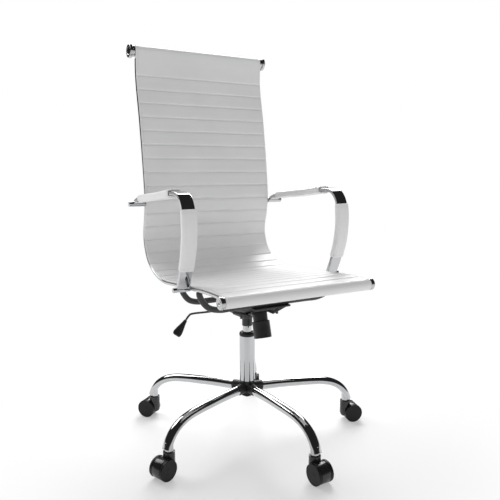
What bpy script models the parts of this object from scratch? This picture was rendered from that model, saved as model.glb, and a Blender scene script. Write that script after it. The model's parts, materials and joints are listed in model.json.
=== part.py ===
# Swivel office chair with a ribbed sling seat, tilting seat frame, gas lift and five casters.
# Units are metres, +Z is up, the sitter faces -Y and the sitter's left is +X.
# Every sub-part is one closed body, and touching pieces keep a small assembly gap.
import math
import bpy
import bmesh
import numpy as np
from mathutils import Matrix, Vector

# ---- frame: places the middle of the footprint at the origin
COLUMN_X = -0.00535
COLUMN_Y = 0.01735
GAP = 0.0003

# ---- sling and its frame
SLING_HALF_WIDTH = 0.2155
SLING_THICKNESS = 0.0040
ROLL_THICKNESS = 0.0034
TOP_BAR = (0.3088, 1.1296)
TOP_ROLL_RADIUS = 0.0175
FRONT_BAR = (-0.2720, 0.4767)
FRONT_ROLL_RADIUS = 0.0155
RIB_PITCH = 0.0417
RIB_GROOVE = 0.0009
PLAIN_BAND = 0.0745
BACK_TOP = (0.2941, 1.0560)
BACK_MIDDLE = (0.2705, 0.9300)
BACK_LOWER = (0.2520, 0.8060)
LUMBAR = (0.2400, 0.6850)
LUMBAR_RETURN = (0.2480, 0.6310)
HIP_BULGE = (0.2595, 0.5730)
HIP_TURN = (0.2370, 0.5160)
SEAT_REAR = (0.1900, 0.4840)
SEAT_LOW = (0.1180, 0.4672)
SEAT_MIDDLE = (0.0200, 0.4727)
SEAT_FRONT = (-0.0900, 0.4820)
SEAT_LIP = (-0.1850, 0.4890)

RAIL_THICKNESS = 0.0080
RAIL_WIDTH = 0.0120
RAIL_CORNER = 0.0020
RAIL_GAP = 0.0012

CAP_NECK_RADIUS = 0.0168
CAP_DISC_RADIUS = 0.0213
CAP_INNER_X = 0.2158
TOP_CAP_OUTER_X = 0.2330
FRONT_CAP_OUTER_X = 0.2272

# ---- arms
ARM_X = 0.2365
ARM_WIDTH = 0.0350
ARM_THICKNESS = 0.0100
ARM_FOOT = (-0.0865, 0.4800)
ARM_LEG_LOW = (-0.1050, 0.5200)
ARM_LEG_MIDDLE = (-0.1250, 0.5800)
ARM_LEG_HIGH = (-0.1310, 0.6430)
ARM_SHOULDER = (-0.1225, 0.6900)
ARM_CORNER = (-0.1010, 0.7140)
ARM_TOP_FRONT = (-0.0700, 0.7195)
ARM_TOP_MIDDLE = (0.0600, 0.7068)
ARM_TOP_REAR = (0.1900, 0.6945)
ARM_DROP = (0.2200, 0.6880)
ARM_TAIL = (0.2430, 0.6775)
REAR_ROD = (0.2420, 0.6760)
REAR_ROD_RADIUS = 0.0080
REAR_ROD_END = 0.2670
FOOT_ROD = (-0.0830, 0.4750)
FOOT_ROD_RADIUS = 0.0068
FOOT_ROD_END = 0.2630
PAD_THICKNESS = 0.0225
PAD_WIDTH = 0.0400
PAD_CORNER = 0.0085
TOP_PAD_SPAN = (-0.0430, 0.1960)
FRONT_PAD_SPAN = (0.5290, 0.6810)

# ---- under the seat
CROSS_TUBE_RADIUS = 0.0080
CROSS_RUN_Z = 0.4210
FRONT_TUBE_Y = -0.1280
REAR_TUBE_Y = -0.0170
PLATE_TOP_Z = 0.4127
PLATE_THICKNESS = 0.0030
PLATE_HALF_WIDTH = 0.0580
PLATE_FRONT_Y = -0.1460
PLATE_REAR_Y = 0.0120
PIVOT = (-0.0350, 0.3950)
PIVOT_RADIUS = 0.0050
HOUSING_HALF_WIDTH = 0.0355
HOUSING_WALL = 0.0025
BOSS_RADIUS = 0.0150
BOSS_BOTTOM_Z = 0.3290
KNOB_TOP = (-0.0700, 0.38434)
KNOB_TILT = math.radians(16.0)
KNOB_LENGTH = 0.0730
KNOB_NECK_LENGTH = 0.0260
KNOB_RADIUS = 0.0245
KNOB_NECK_RADIUS = 0.0205
LEVER_Z = 0.3830
LEVER_RADIUS = 0.0028

# ---- gas lift
TUBE_RADIUS = 0.0225
TUBE_TOP_Z = 0.2990
TUBE_BOTTOM_Z = 0.1170
SPIGOT_RADIUS = 0.0125
BUSH_TOP_Z = 0.3100
LIFT_RADIUS = 0.0132
LIFT_TOP_Z = 0.3640
ROD_RADIUS = 0.0050

# ---- base and casters
LEG_COUNT = 5
FIRST_LEG_DEG = 129.27
STEM_CIRCLE = 0.3158
HUB_TOP_Z = 0.1640
HUB_BOTTOM_Z = 0.1190
HUB_SOCKET_END = 0.0450
SOCKET_RADIUS = 0.0115
SOCKET_BOTTOM_Z = 0.0670
SOCKET_TOP_Z = 0.0920
STEM_RADIUS = 0.0055
CASTER_TRAIL = 0.0210
WHEEL_RADIUS = 0.0275
WHEEL_INNER = 0.0150
WHEEL_OUTER = 0.0225
HOOD_RADIUS = 0.0264
HOOD_HALF_WIDTH = 0.0142
HOOD_BOTTOM_Z = 0.0080
HOOD_BOSS_RADIUS = 0.0150
AXLE_RADIUS = 0.0035


def clear_scene():
    for item in list(bpy.data.objects):
        bpy.data.objects.remove(item, do_unlink=True)


def material(name, colour, roughness, metallic):
    made = bpy.data.materials.new(name)
    made.use_nodes = True
    shader = made.node_tree.nodes["Principled BSDF"]
    shader.inputs["Base Color"].default_value = (*colour, 1.0)
    shader.inputs["Roughness"].default_value = roughness
    shader.inputs["Metallic"].default_value = metallic
    made.diffuse_color = (*colour, 1.0)
    return made


def solid(name, points, faces, surface, sharp_deg=35.0):
    """One closed mesh object, faces turned outward, smooth except at sharp edges."""
    mesh = bpy.data.meshes.new(name)
    work = bmesh.new()
    corners = [work.verts.new(point) for point in points]
    for face in faces:
        work.faces.new([corners[index] for index in face])
    bmesh.ops.remove_doubles(work, verts=work.verts, dist=0.000001)
    bmesh.ops.recalc_face_normals(work, faces=work.faces)
    for face in work.faces:
        face.smooth = True
    for edge in work.edges:
        if len(edge.link_faces) == 2 and edge.calc_face_angle() > math.radians(sharp_deg):
            edge.smooth = False
    work.to_mesh(mesh)
    work.free()
    made = bpy.data.objects.new(name, mesh)
    bpy.context.scene.collection.objects.link(made)
    made.data.materials.append(surface)
    return made


def lathe(name, profile, surface, count=32, matrix=None, sharp_deg=35.0):
    """Turns a closed (radius, height) outline about local Z, then places it."""
    points = []
    rings = []
    for radius, height in profile:
        if radius < 0.000001:
            rings.append([len(points)])
            points.append(Vector((0.0, 0.0, height)))
            continue
        ring = []
        for step in range(count):
            angle = 2.0 * math.pi * step / count
            ring.append(len(points))
            points.append(Vector((radius * math.cos(angle), radius * math.sin(angle), height)))
        rings.append(ring)
    faces = []
    for index in range(len(rings)):
        low = rings[index]
        high = rings[(index + 1) % len(rings)]
        if len(low) == 1 and len(high) == 1:
            continue
        for step in range(count):
            after = (step + 1) % count
            if len(low) == 1:
                faces.append((low[0], high[step], high[after]))
            elif len(high) == 1:
                faces.append((low[step], low[after], high[0]))
            else:
                faces.append((low[step], low[after], high[after], high[step]))
    if matrix is not None:
        points = [matrix @ point for point in points]
    return solid(name, points, faces, surface, sharp_deg)


def along_x(x, y, z, sign=1.0):
    """Placement that turns local Z into sign times X."""
    return Matrix.Translation((x, y, z)) @ Matrix.Rotation(math.radians(90.0 * sign), 4, "Y")


def smooth_line(knots, spacing):
    """Even points along a centripetal Catmull-Rom curve through the knots."""
    knots = np.array(knots, float)
    padded = np.vstack([2.0 * knots[0] - knots[1], knots, 2.0 * knots[-1] - knots[-2]])
    fine = []
    for index in range(1, len(padded) - 2):
        before, start, end, after = padded[index - 1:index + 3]
        t0 = 0.0
        t1 = t0 + math.sqrt(np.linalg.norm(start - before))
        t2 = t1 + math.sqrt(np.linalg.norm(end - start))
        t3 = t2 + math.sqrt(np.linalg.norm(after - end))
        for t in np.linspace(t1, t2, 40, endpoint=False):
            a1 = (t1 - t) / (t1 - t0) * before + (t - t0) / (t1 - t0) * start
            a2 = (t2 - t) / (t2 - t1) * start + (t - t1) / (t2 - t1) * end
            a3 = (t3 - t) / (t3 - t2) * end + (t - t2) / (t3 - t2) * after
            b1 = (t2 - t) / (t2 - t0) * a1 + (t - t0) / (t2 - t0) * a2
            b2 = (t3 - t) / (t3 - t1) * a2 + (t - t1) / (t3 - t1) * a3
            fine.append((t2 - t) / (t2 - t1) * b1 + (t - t1) / (t2 - t1) * b2)
    fine.append(knots[-1])
    fine = np.array(fine)
    steps = np.linalg.norm(np.diff(fine, axis=0), axis=1)
    length = np.concatenate([[0.0], np.cumsum(steps)])
    count = max(2, int(round(length[-1] / spacing)) + 1)
    places = np.linspace(0.0, length[-1], count)
    return np.column_stack([np.interp(places, length, fine[:, axis]) for axis in range(fine.shape[1])])


def thinned(line, turn_deg=6.0, reach=0.090):
    """Drops points where the line runs nearly straight."""
    kept = [0]
    heading = None
    for number in range(1, len(line) - 1):
        ahead = line[number + 1] - line[number]
        ahead = math.atan2(ahead[1], ahead[0])
        if heading is None:
            first = line[1] - line[0]
            heading = math.atan2(first[1], first[0])
        change = abs((ahead - heading + math.pi) % (2.0 * math.pi) - math.pi)
        far = np.linalg.norm(line[number] - line[kept[-1]]) > reach
        if change > math.radians(turn_deg) or far:
            kept.append(number)
            heading = ahead
    return line[kept + [len(line) - 1]]


def normals_2d(line):
    """Unit normals, a quarter turn anticlockwise from the direction of travel."""
    tangent = np.gradient(line, axis=0)
    tangent /= np.linalg.norm(tangent, axis=1)[:, None]
    return np.column_stack([-tangent[:, 1], tangent[:, 0]])


def sweep(name, path, section, surface, hole=None, sharp_deg=35.0):
    """Carries a closed section along a path.

    path is a list of (centre, across, up) frames, and section gives (across, up)
    offsets for each frame number. A second section makes a bore right through.
    """
    points = []
    faces = []

    def rings_of(shape):
        made = []
        for number, (centre, across, up) in enumerate(path):
            ring = []
            for side, rise in shape(number):
                ring.append(len(points))
                points.append(centre + across * side + up * rise)
            made.append(ring)
        return made

    def walls(rings):
        count = len(rings[0])
        for number in range(len(rings) - 1):
            for step in range(count):
                after = (step + 1) % count
                faces.append((rings[number][step], rings[number][after],
                              rings[number + 1][after], rings[number + 1][step]))

    outer = rings_of(section)
    walls(outer)
    if hole is None:
        faces.append(tuple(outer[0]))
        faces.append(tuple(outer[-1]))
    else:
        inner = rings_of(hole)
        walls(inner)
        count = len(outer[0])
        for end in (0, -1):
            for step in range(count):
                after = (step + 1) % count
                faces.append((outer[end][step], outer[end][after], inner[end][after], inner[end][step]))
    return solid(name, points, faces, surface, sharp_deg)


def rounded_box(width, height, corner, steps=3):
    """Closed outline of a rectangle with rounded corners."""
    outline = []
    for turn in range(4):
        middle_x = (width / 2 - corner) * (1 if turn in (0, 3) else -1)
        middle_y = (height / 2 - corner) * (1 if turn in (0, 1) else -1)
        for step in range(steps + 1):
            angle = math.pi / 2 * (turn + step / steps)
            outline.append((middle_x + corner * math.cos(angle), middle_y + corner * math.sin(angle)))
    return outline


def oval(width, height, count):
    return [(width / 2 * math.cos(2 * math.pi * step / count),
             height / 2 * math.sin(2 * math.pi * step / count)) for step in range(count)]


def side_path(line, x):
    """Frames along a (y, z) line in the plane of constant x."""
    side = normals_2d(line)
    return [(Vector((x, point[0], point[1])), Vector((1.0, 0.0, 0.0)), Vector((0.0, normal[0], normal[1])))
            for point, normal in zip(line, side)]


def front_path(line, y):
    """Frames along an (x, z) line in the plane of constant y."""
    side = normals_2d(line)
    return [(Vector((point[0], y, point[1])), Vector((0.0, 1.0, 0.0)), Vector((normal[0], 0.0, normal[1])))
            for point, normal in zip(line, side)]


def block(name, outline, x0, x1, surface, sharp_deg=35.0):
    """Extrudes a closed (y, z) outline from x0 to x1."""
    count = len(outline)
    points = [Vector((x0, y, z)) for y, z in outline] + [Vector((x1, y, z)) for y, z in outline]
    faces = [tuple(range(count)), tuple(range(count, 2 * count))]
    for step in range(count):
        after = (step + 1) % count
        faces.append((step, after, count + after, count + step))
    return solid(name, points, faces, surface, sharp_deg)


def plate(name, outline, z0, z1, surface, sharp_deg=35.0):
    """Extrudes a closed (x, y) outline from z0 to z1."""
    count = len(outline)
    points = [Vector((x, y, z0)) for x, y in outline] + [Vector((x, y, z1)) for x, y in outline]
    faces = [tuple(range(count)), tuple(range(count, 2 * count))]
    for step in range(count):
        after = (step + 1) % count
        faces.append((step, after, count + after, count + step))
    return solid(name, points, faces, surface, sharp_deg)


def join(base, tools, operation):
    """Applies exact Booleans to base and removes the tool objects."""
    for tool in tools:
        modifier = base.modifiers.new("cut", "BOOLEAN")
        modifier.solver = "EXACT"
        modifier.operation = operation
        modifier.object = tool
    bpy.context.view_layer.update()
    graph = bpy.context.evaluated_depsgraph_get()
    mesh = bpy.data.meshes.new_from_object(base.evaluated_get(graph))
    base.modifiers.clear()
    old = base.data
    surface = old.materials[0]
    base.data = mesh
    bpy.data.meshes.remove(old)
    mesh.name = base.name
    mesh.materials.clear()
    mesh.materials.append(surface)
    for tool in tools:
        bpy.data.objects.remove(tool, do_unlink=True)
    work = bmesh.new()
    work.from_mesh(mesh)
    for face in work.faces:
        face.material_index = 0
        face.smooth = True
    bmesh.ops.remove_doubles(work, verts=work.verts, dist=0.00001)
    bmesh.ops.dissolve_degenerate(work, dist=0.00001, edges=work.edges)
    for edge in work.edges:
        edge.smooth = not (len(edge.link_faces) == 2 and edge.calc_face_angle() > math.radians(35.0))
    work.to_mesh(mesh)
    work.free()
    return base


# ---------------------------------------------------------------- seat frame
def sling_line(spacing=0.0070):
    """Middle surface of the sling from the top roll's front to the front roll's top."""
    top = (TOP_BAR[0] - TOP_ROLL_RADIUS + ROLL_THICKNESS / 2, TOP_BAR[1])
    front = (FRONT_BAR[0], FRONT_BAR[1] + FRONT_ROLL_RADIUS - ROLL_THICKNESS / 2)
    knots = [top, BACK_TOP, BACK_MIDDLE, BACK_LOWER, LUMBAR, LUMBAR_RETURN, HIP_BULGE, HIP_TURN,
             SEAT_REAR, SEAT_LOW, SEAT_MIDDLE, SEAT_FRONT, SEAT_LIP, front]
    return smooth_line(knots, spacing)


def make_sling(surface):
    """Ribbed sheet whose two ends wrap round the bars as open hooks."""
    line = sling_line(0.0010)
    last = 0.0010 * (len(line) - 1)
    length = np.linspace(0.0, last, len(line))
    rows = [0.0, 0.025, 0.050]
    depth = [0.0, 0.0, 0.0]
    seam = PLAIN_BAND
    while seam < last - 0.030:
        rows += [seam - 0.0030, seam, seam + 0.0030, seam + RIB_PITCH / 3, seam + 2 * RIB_PITCH / 3]
        depth += [0.0, RIB_GROOVE, 0.0, 0.0, 0.0]
        seam += RIB_PITCH
    while rows[-1] > last - 0.012:
        rows.pop()
        depth.pop()
    rows.append(last)
    depth.append(0.0)
    line = np.column_stack([np.interp(rows, length, line[:, axis]) for axis in range(2)])
    half = SLING_THICKNESS / 2 - np.array(depth)
    half[0] = ROLL_THICKNESS / 2
    half[-1] = ROLL_THICKNESS / 2

    def hook(bar, radius, start_deg, turn_deg):
        middle = radius - ROLL_THICKNESS / 2
        angles = np.radians(start_deg + np.linspace(0.0, turn_deg, 23))
        return np.column_stack([bar[0] + middle * np.cos(angles), bar[1] + middle * np.sin(angles)])

    top = hook(TOP_BAR, TOP_ROLL_RADIUS, 180.0, -312.0)[1:]
    front = hook(FRONT_BAR, FRONT_ROLL_RADIUS, 90.0, 312.0)[1:]
    whole = np.vstack([top[::-1], line, front])
    width = np.concatenate([np.full(len(top), ROLL_THICKNESS / 2), half, np.full(len(front), ROLL_THICKNESS / 2)])
    side = normals_2d(whole)
    outline = np.vstack([whole + side * width[:, None], (whole - side * width[:, None])[::-1]])
    return block("sling", [tuple(p) for p in outline], -SLING_HALF_WIDTH, SLING_HALF_WIDTH, surface, 50.0)


def rail_line():
    """Middle of the side rail, from below the top roll to behind the front roll."""
    line = sling_line(0.0050)
    side = normals_2d(line)
    outward = -side if side[0][0] < 0.0 else side
    middle = line + outward * (SLING_THICKNESS / 2 + RAIL_GAP + RAIL_THICKNESS / 2)
    keep = middle[:, 1] < TOP_BAR[1] - TOP_ROLL_RADIUS - 0.0012
    keep &= middle[:, 0] > FRONT_BAR[0] + FRONT_ROLL_RADIUS + 0.0010
    return thinned(middle[keep], 4.0)


def make_side_rail(name, sign, surface):
    """Flat chrome bar that follows the sling's edge on its outer side."""
    outline = rounded_box(RAIL_WIDTH, RAIL_THICKNESS, RAIL_CORNER, 1)
    x = sign * (SLING_HALF_WIDTH + GAP - RAIL_WIDTH / 2)
    return sweep(name, side_path(rail_line(), x), lambda number: outline, surface, None, 50.0)


def make_bar(name, bar, radius, surface):
    """Tube inside a roll of the sling."""
    outer = radius - ROLL_THICKNESS - GAP
    inner = outer - 0.0020
    half = SLING_HALF_WIDTH
    profile = [(inner, -half), (outer, -half), (outer, half), (inner, half)]
    return lathe(name, profile, surface, 28, along_x(0.0, bar[0], bar[1]))


def make_top_cap(name, sign, surface):
    """Plug with a neck and a wide disc at the end of the top bar."""
    plug = TOP_ROLL_RADIUS - ROLL_THICKNESS - GAP - 0.0020 - GAP
    start = CAP_INNER_X
    disc = CAP_INNER_X + 0.0082
    end = TOP_CAP_OUTER_X
    profile = [(0.0, start - 0.020), (plug, start - 0.020), (plug, start), (CAP_NECK_RADIUS, start),
               (CAP_NECK_RADIUS, disc), (CAP_DISC_RADIUS - 0.0012, disc), (CAP_DISC_RADIUS, disc + 0.0012),
               (CAP_DISC_RADIUS, end - 0.0020), (CAP_DISC_RADIUS - 0.0018, end - 0.0002), (0.0, end)]
    return lathe(name, profile, surface, 24, along_x(0.0, TOP_BAR[0], TOP_BAR[1], sign))


def make_front_cap(name, sign, surface):
    """Plug with a shallow ring and a countersunk centre at the end of the front bar."""
    plug = FRONT_ROLL_RADIUS - ROLL_THICKNESS - GAP - 0.0020 - GAP
    start = CAP_INNER_X
    end = FRONT_CAP_OUTER_X
    rim = FRONT_ROLL_RADIUS + 0.0005
    profile = [(0.0, start - 0.018), (plug, start - 0.018), (plug, start), (rim - 0.0015, start),
               (rim - 0.0015, start + 0.0030), (rim, start + 0.0036), (rim, end - 0.0016),
               (rim - 0.0016, end), (0.0105, end), (0.0100, end - 0.0008), (0.0090, end - 0.0008),
               (0.0085, end), (0.0042, end), (0.0028, end - 0.0025), (0.0, end - 0.0025)]
    return lathe(name, profile, surface, 22, along_x(0.0, FRONT_BAR[0], FRONT_BAR[1], sign))


# ---------------------------------------------------------------- arms
def arm_line(spacing=0.0080):
    knots = [ARM_FOOT, ARM_LEG_LOW, ARM_LEG_MIDDLE, ARM_LEG_HIGH, ARM_SHOULDER, ARM_CORNER,
             ARM_TOP_FRONT, ARM_TOP_MIDDLE, ARM_TOP_REAR, ARM_DROP, ARM_TAIL]
    return smooth_line(knots, spacing)


def make_arm(name, sign, surface):
    """Bent flat bar with a rod welded across each end."""
    outline = rounded_box(ARM_WIDTH, ARM_THICKNESS, 0.0022, 1)
    arm = sweep(name, side_path(thinned(arm_line(0.0050), 7.0), sign * ARM_X), lambda number: outline, surface, None, 50.0)
    rods = []
    for spot, radius, end in ((REAR_ROD, REAR_ROD_RADIUS, REAR_ROD_END), (FOOT_ROD, FOOT_ROD_RADIUS, FOOT_ROD_END)):
        profile = [(0.0, CAP_INNER_X + GAP), (radius, CAP_INNER_X + GAP), (radius, end - 0.0012),
                   (radius - 0.0012, end), (0.0, end)]
        rods.append(lathe("rod", profile, surface, 18, along_x(0.0, spot[0], spot[1], sign)))
    return join(arm, rods, "UNION")


def make_pad(name, line, sign, surface):
    """Padded sleeve around the bar, open at both ends."""
    count = len(line)
    inner = rounded_box(ARM_WIDTH + 0.0012, ARM_THICKNESS + 0.0012, 0.0022, 2)

    def outer(number):
        edge = min(number, count - 1 - number)
        shrink = 0.0020 if edge == 0 else 0.0
        return rounded_box(PAD_WIDTH - shrink, PAD_THICKNESS - shrink, PAD_CORNER, 2)

    return sweep(name, side_path(line, sign * ARM_X), outer, surface, lambda number: inner, 60.0)


def stretch(line, start, end, lip=0.0030):
    """Part of a polyline between two lengths along it, with a short first and last step."""
    steps = np.linalg.norm(np.diff(line, axis=0), axis=1)
    length = np.concatenate([[0.0], np.cumsum(steps)])
    inside = [place for place in length if start + 2 * lip < place < end - 2 * lip]
    places = [start, start + lip] + inside + [end - lip, end]
    return np.column_stack([np.interp(places, length, line[:, axis]) for axis in range(2)])


def pad_lines():
    """Stretches of the arm's line that the front and top sleeves cover."""
    line = thinned(arm_line(0.0050), 7.0)
    steps = np.linalg.norm(np.diff(line, axis=0), axis=1)
    length = np.concatenate([[0.0], np.cumsum(steps)])
    highest = int(np.argmax(line[:, 1]))
    rising = line[:highest + 1]
    front = [float(np.interp(z, rising[:, 1], length[:highest + 1])) for z in FRONT_PAD_SPAN]
    level = line[highest:]
    top = [float(np.interp(y, level[:, 0], length[highest:])) for y in TOP_PAD_SPAN]
    return stretch(line, *front), stretch(line, *top)


# ---------------------------------------------------------------- under the seat
def rail_underside(y):
    """Height of the side rail's lower face at a given depth under the seat."""
    line = rail_line()
    seat = line[line[:, 1] < 0.4900]
    order = np.argsort(seat[:, 0])
    return float(np.interp(y, seat[order, 0], seat[order, 1])) - RAIL_THICKNESS / 2


def make_cross_tube(name, y, shoulder, surface):
    """U-shaped tube that dips from one rail to the other under the seat."""
    end_x = SLING_HALF_WIDTH + GAP - RAIL_WIDTH / 2
    top = rail_underside(y) - 0.0013
    drop = top - CROSS_RUN_Z
    left = [(-end_x, top), (-end_x, top - 0.12 * drop), (-end_x + 0.12 * shoulder, top - 0.42 * drop),
            (-end_x + 0.45 * shoulder, top - 0.82 * drop), (-end_x + shoulder, CROSS_RUN_Z),
            (-end_x + 1.7 * shoulder, CROSS_RUN_Z)]
    right = [(-x, z) for x, z in reversed(left)]
    line = thinned(smooth_line(left + right, 0.0040), 8.0)
    outline = oval(2 * CROSS_TUBE_RADIUS, 2 * CROSS_TUBE_RADIUS, 16)
    frames = front_path(line, y)
    return sweep(name, frames, lambda number: outline, surface, None, 50.0)


def make_seat_plate(surface):
    """Plate under both cross tubes, with two ears that hang on the tilt pin."""
    z1 = PLATE_TOP_Z
    z0 = PLATE_TOP_Z - PLATE_THICKNESS
    w = PLATE_HALF_WIDTH
    outline = [(-w, PLATE_FRONT_Y + 0.006), (-w + 0.006, PLATE_FRONT_Y), (w - 0.006, PLATE_FRONT_Y),
               (w, PLATE_FRONT_Y + 0.006), (w, -0.105), (0.044, -0.085), (0.044, -0.050), (w, -0.030),
               (w, PLATE_REAR_Y - 0.006), (w - 0.006, PLATE_REAR_Y), (-w + 0.006, PLATE_REAR_Y),
               (-w, PLATE_REAR_Y - 0.006), (-w, -0.030), (-0.044, -0.050), (-0.044, -0.085), (-w, -0.105)]
    base = plate("seat_plate", outline, z0, z1, surface)
    tools = []
    for sign in (-1.0, 1.0):
        y, z = PIVOT
        ear = [(y - 0.013, z1 - 0.001), (y - 0.011, z + 0.001)]
        for step in range(9):
            angle = math.radians(180.0 + 22.5 * step)
            ear.append((y + 0.0105 * math.cos(angle), z + 0.0105 * math.sin(angle)))
        ear += [(y + 0.011, z + 0.001), (y + 0.013, z1 - 0.001)]
        low = 0.0365 if sign > 0 else -0.0395
        tools.append(block("ear", ear, low, low + 0.0030, surface))
    for x in (-0.040, 0.040):
        for y in (FRONT_TUBE_Y, REAR_TUBE_Y):
            nut = [(0.0, z0 - 0.0050), (0.0052, z0 - 0.0050), (0.0065, z0 - 0.0040), (0.0065, z0 + 0.001),
                   (0.0, z0 + 0.001)]
            if y == FRONT_TUBE_Y:
                tools.append(lathe("nut", nut, surface, 6, Matrix.Translation((x, y, 0.0))))
    base = join(base, tools, "UNION")
    hole = lathe("hole", [(0.0, -0.06), (PIVOT_RADIUS + 0.0003, -0.06), (PIVOT_RADIUS + 0.0003, 0.06), (0.0, 0.06)],
                 surface, 20, along_x(0.0, PIVOT[0], PIVOT[1]))
    return join(base, [hole], "DIFFERENCE")


def make_pivot_pin(surface):
    profile = [(0.0, -0.0440), (0.0068, -0.0440), (0.0075, -0.0433), (0.0075, -0.0400), (PIVOT_RADIUS, -0.0400),
               (PIVOT_RADIUS, 0.0400), (0.0075, 0.0400), (0.0075, 0.0433), (0.0068, 0.0440), (0.0, 0.0440)]
    return lathe("tilt_pivot_pin", profile, surface, 20, along_x(0.0, PIVOT[0], PIVOT[1]))


def make_tilt_spring(surface):
    """Torsion coil wound round the tilt pin."""
    turns = 5
    steps = 9
    mean = 0.0088
    wire = 0.0016
    pitch = 0.0038
    frames = []
    for number in range(turns * steps + 1):
        angle = 2.0 * math.pi * number / steps
        outward = Vector((0.0, math.cos(angle), math.sin(angle)))
        centre = Vector((-0.0270 + pitch * number / steps, PIVOT[0], PIVOT[1])) + outward * mean
        travel = Vector((pitch / (2.0 * math.pi * mean), -math.sin(angle), math.cos(angle))).normalized()
        frames.append((centre, outward, travel.cross(outward)))
    outline = oval(2 * wire, 2 * wire, 6)
    return sweep("tilt_spring", frames, lambda number: outline, surface, None, 50.0)


def make_housing(surface):
    """Pressed tilt housing with side wings, an open top and the boss that takes the lift."""
    w = HOUSING_HALF_WIDTH
    outline = [(-0.1000, 0.4085), (-0.1000, 0.3938), (-0.0485, 0.3790), (-0.0420, 0.3700), (-0.0300, 0.3625),
               (0.0200, 0.3605), (0.0300, 0.3660), (0.0300, 0.3925), (-0.0360, 0.4085)]
    base = block("mechanism_housing", outline, -w, w, surface)
    wings = []
    for sign in (-1.0, 1.0):
        inner = sign * (w - 0.001)
        outer = sign * 0.0920
        corners = []
        for x, z, y0, y1 in ((inner, 0.3765, -0.0880, -0.0440), (outer, 0.3945, -0.0820, -0.0610)):
            for lift in (0.0, 0.0036):
                corners += [Vector((x, y0, z + lift)), Vector((x, y1, z + lift))]
        faces = [(0, 1, 3, 2), (4, 5, 7, 6), (0, 1, 5, 4), (2, 3, 7, 6), (0, 2, 6, 4), (1, 3, 7, 5)]
        wings.append(solid("wing", corners, faces, surface))
        stop = [(0.0, 0.3715), (0.0030, 0.3715), (0.0036, 0.3725), (0.0036, 0.3840), (0.0, 0.3840)]
        wings.append(lathe("stop", stop, surface, 12, Matrix.Translation((sign * 0.0580, -0.0700, 0.0))))
    boss = [(0.0, BOSS_BOTTOM_Z), (BOSS_RADIUS - 0.0008, BOSS_BOTTOM_Z), (BOSS_RADIUS, BOSS_BOTTOM_Z + 0.0010),
            (BOSS_RADIUS, 0.3500), (BOSS_RADIUS + 0.0060, 0.3615), (BOSS_RADIUS + 0.0060, 0.3640), (0.0, 0.3640)]
    wings.append(lathe("boss", boss, surface, 28))
    base = join(base, wings, "UNION")
    t = HOUSING_WALL
    cavity = [(-0.1000 + t, 0.4200), (-0.1000 + t, 0.3962), (-0.0470, 0.3814), (-0.0405, 0.3725), (-0.0290, 0.3650),
              (0.0190, 0.3632), (0.0300 - t, 0.3680), (0.0300 - t, 0.4200)]
    tools = [block("cavity", cavity, -w + t, w - t, surface)]
    r = LIFT_RADIUS + GAP
    tools.append(lathe("bore", [(0.0, 0.3200), (r, 0.3200), (r, 0.3700), (0.0, 0.3700)], surface, 28))
    r = PIVOT_RADIUS + 0.0003
    tools.append(lathe("hole", [(0.0, -0.06), (r, -0.06), (r, 0.06), (0.0, 0.06)], surface, 20,
                       along_x(0.0, PIVOT[0], PIVOT[1])))
    slot = [(y, LEVER_Z + z) for y, z in rounded_box(0.0086, 0.0110, 0.0040, 3)]
    tools.append(block("slot", slot, -w - 0.010, -w + t + 0.004, surface))
    r = 0.0058
    bolt_hole = [(0.0, -0.020), (r, -0.020), (r, 0.014), (0.0, 0.014)]
    tools.append(lathe("way", bolt_hole, surface, 20, knob_matrix()))
    return join(base, tools, "DIFFERENCE")


def knob_matrix():
    """Placement whose local Z runs up the tilted knob axis, with zero at the knob's top."""
    return Matrix.Translation((0.0, KNOB_TOP[0], KNOB_TOP[1])) @ Matrix.Rotation(-KNOB_TILT, 4, "X")


def make_knob(surface):
    """Stepped hand knob, open at the top for the bolt."""
    neck = -KNOB_NECK_LENGTH
    low = -KNOB_LENGTH
    profile = [(0.0, low), (KNOB_RADIUS - 0.0025, low), (KNOB_RADIUS, low + 0.0025), (KNOB_RADIUS - 0.0006, neck - 0.0020),
               (KNOB_RADIUS - 0.0022, neck), (KNOB_NECK_RADIUS, neck), (KNOB_NECK_RADIUS, -0.0015),
               (KNOB_NECK_RADIUS - 0.0015, 0.0), (0.0056, 0.0), (0.0056, -0.0560), (0.0, -0.0560)]
    return lathe("tension_knob", profile, surface, 28, knob_matrix())


def make_tension_bolt(surface):
    """Bolt the knob draws up and down, with its spring seat inside the housing."""
    profile = [(0.0, -0.0480), (0.0045, -0.0480), (0.0050, -0.0472), (0.0050, 0.0085), (0.0105, 0.0085),
               (0.0105, 0.0125), (0.0, 0.0125)]
    return lathe("tension_bolt", profile, surface, 20, knob_matrix())


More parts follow.
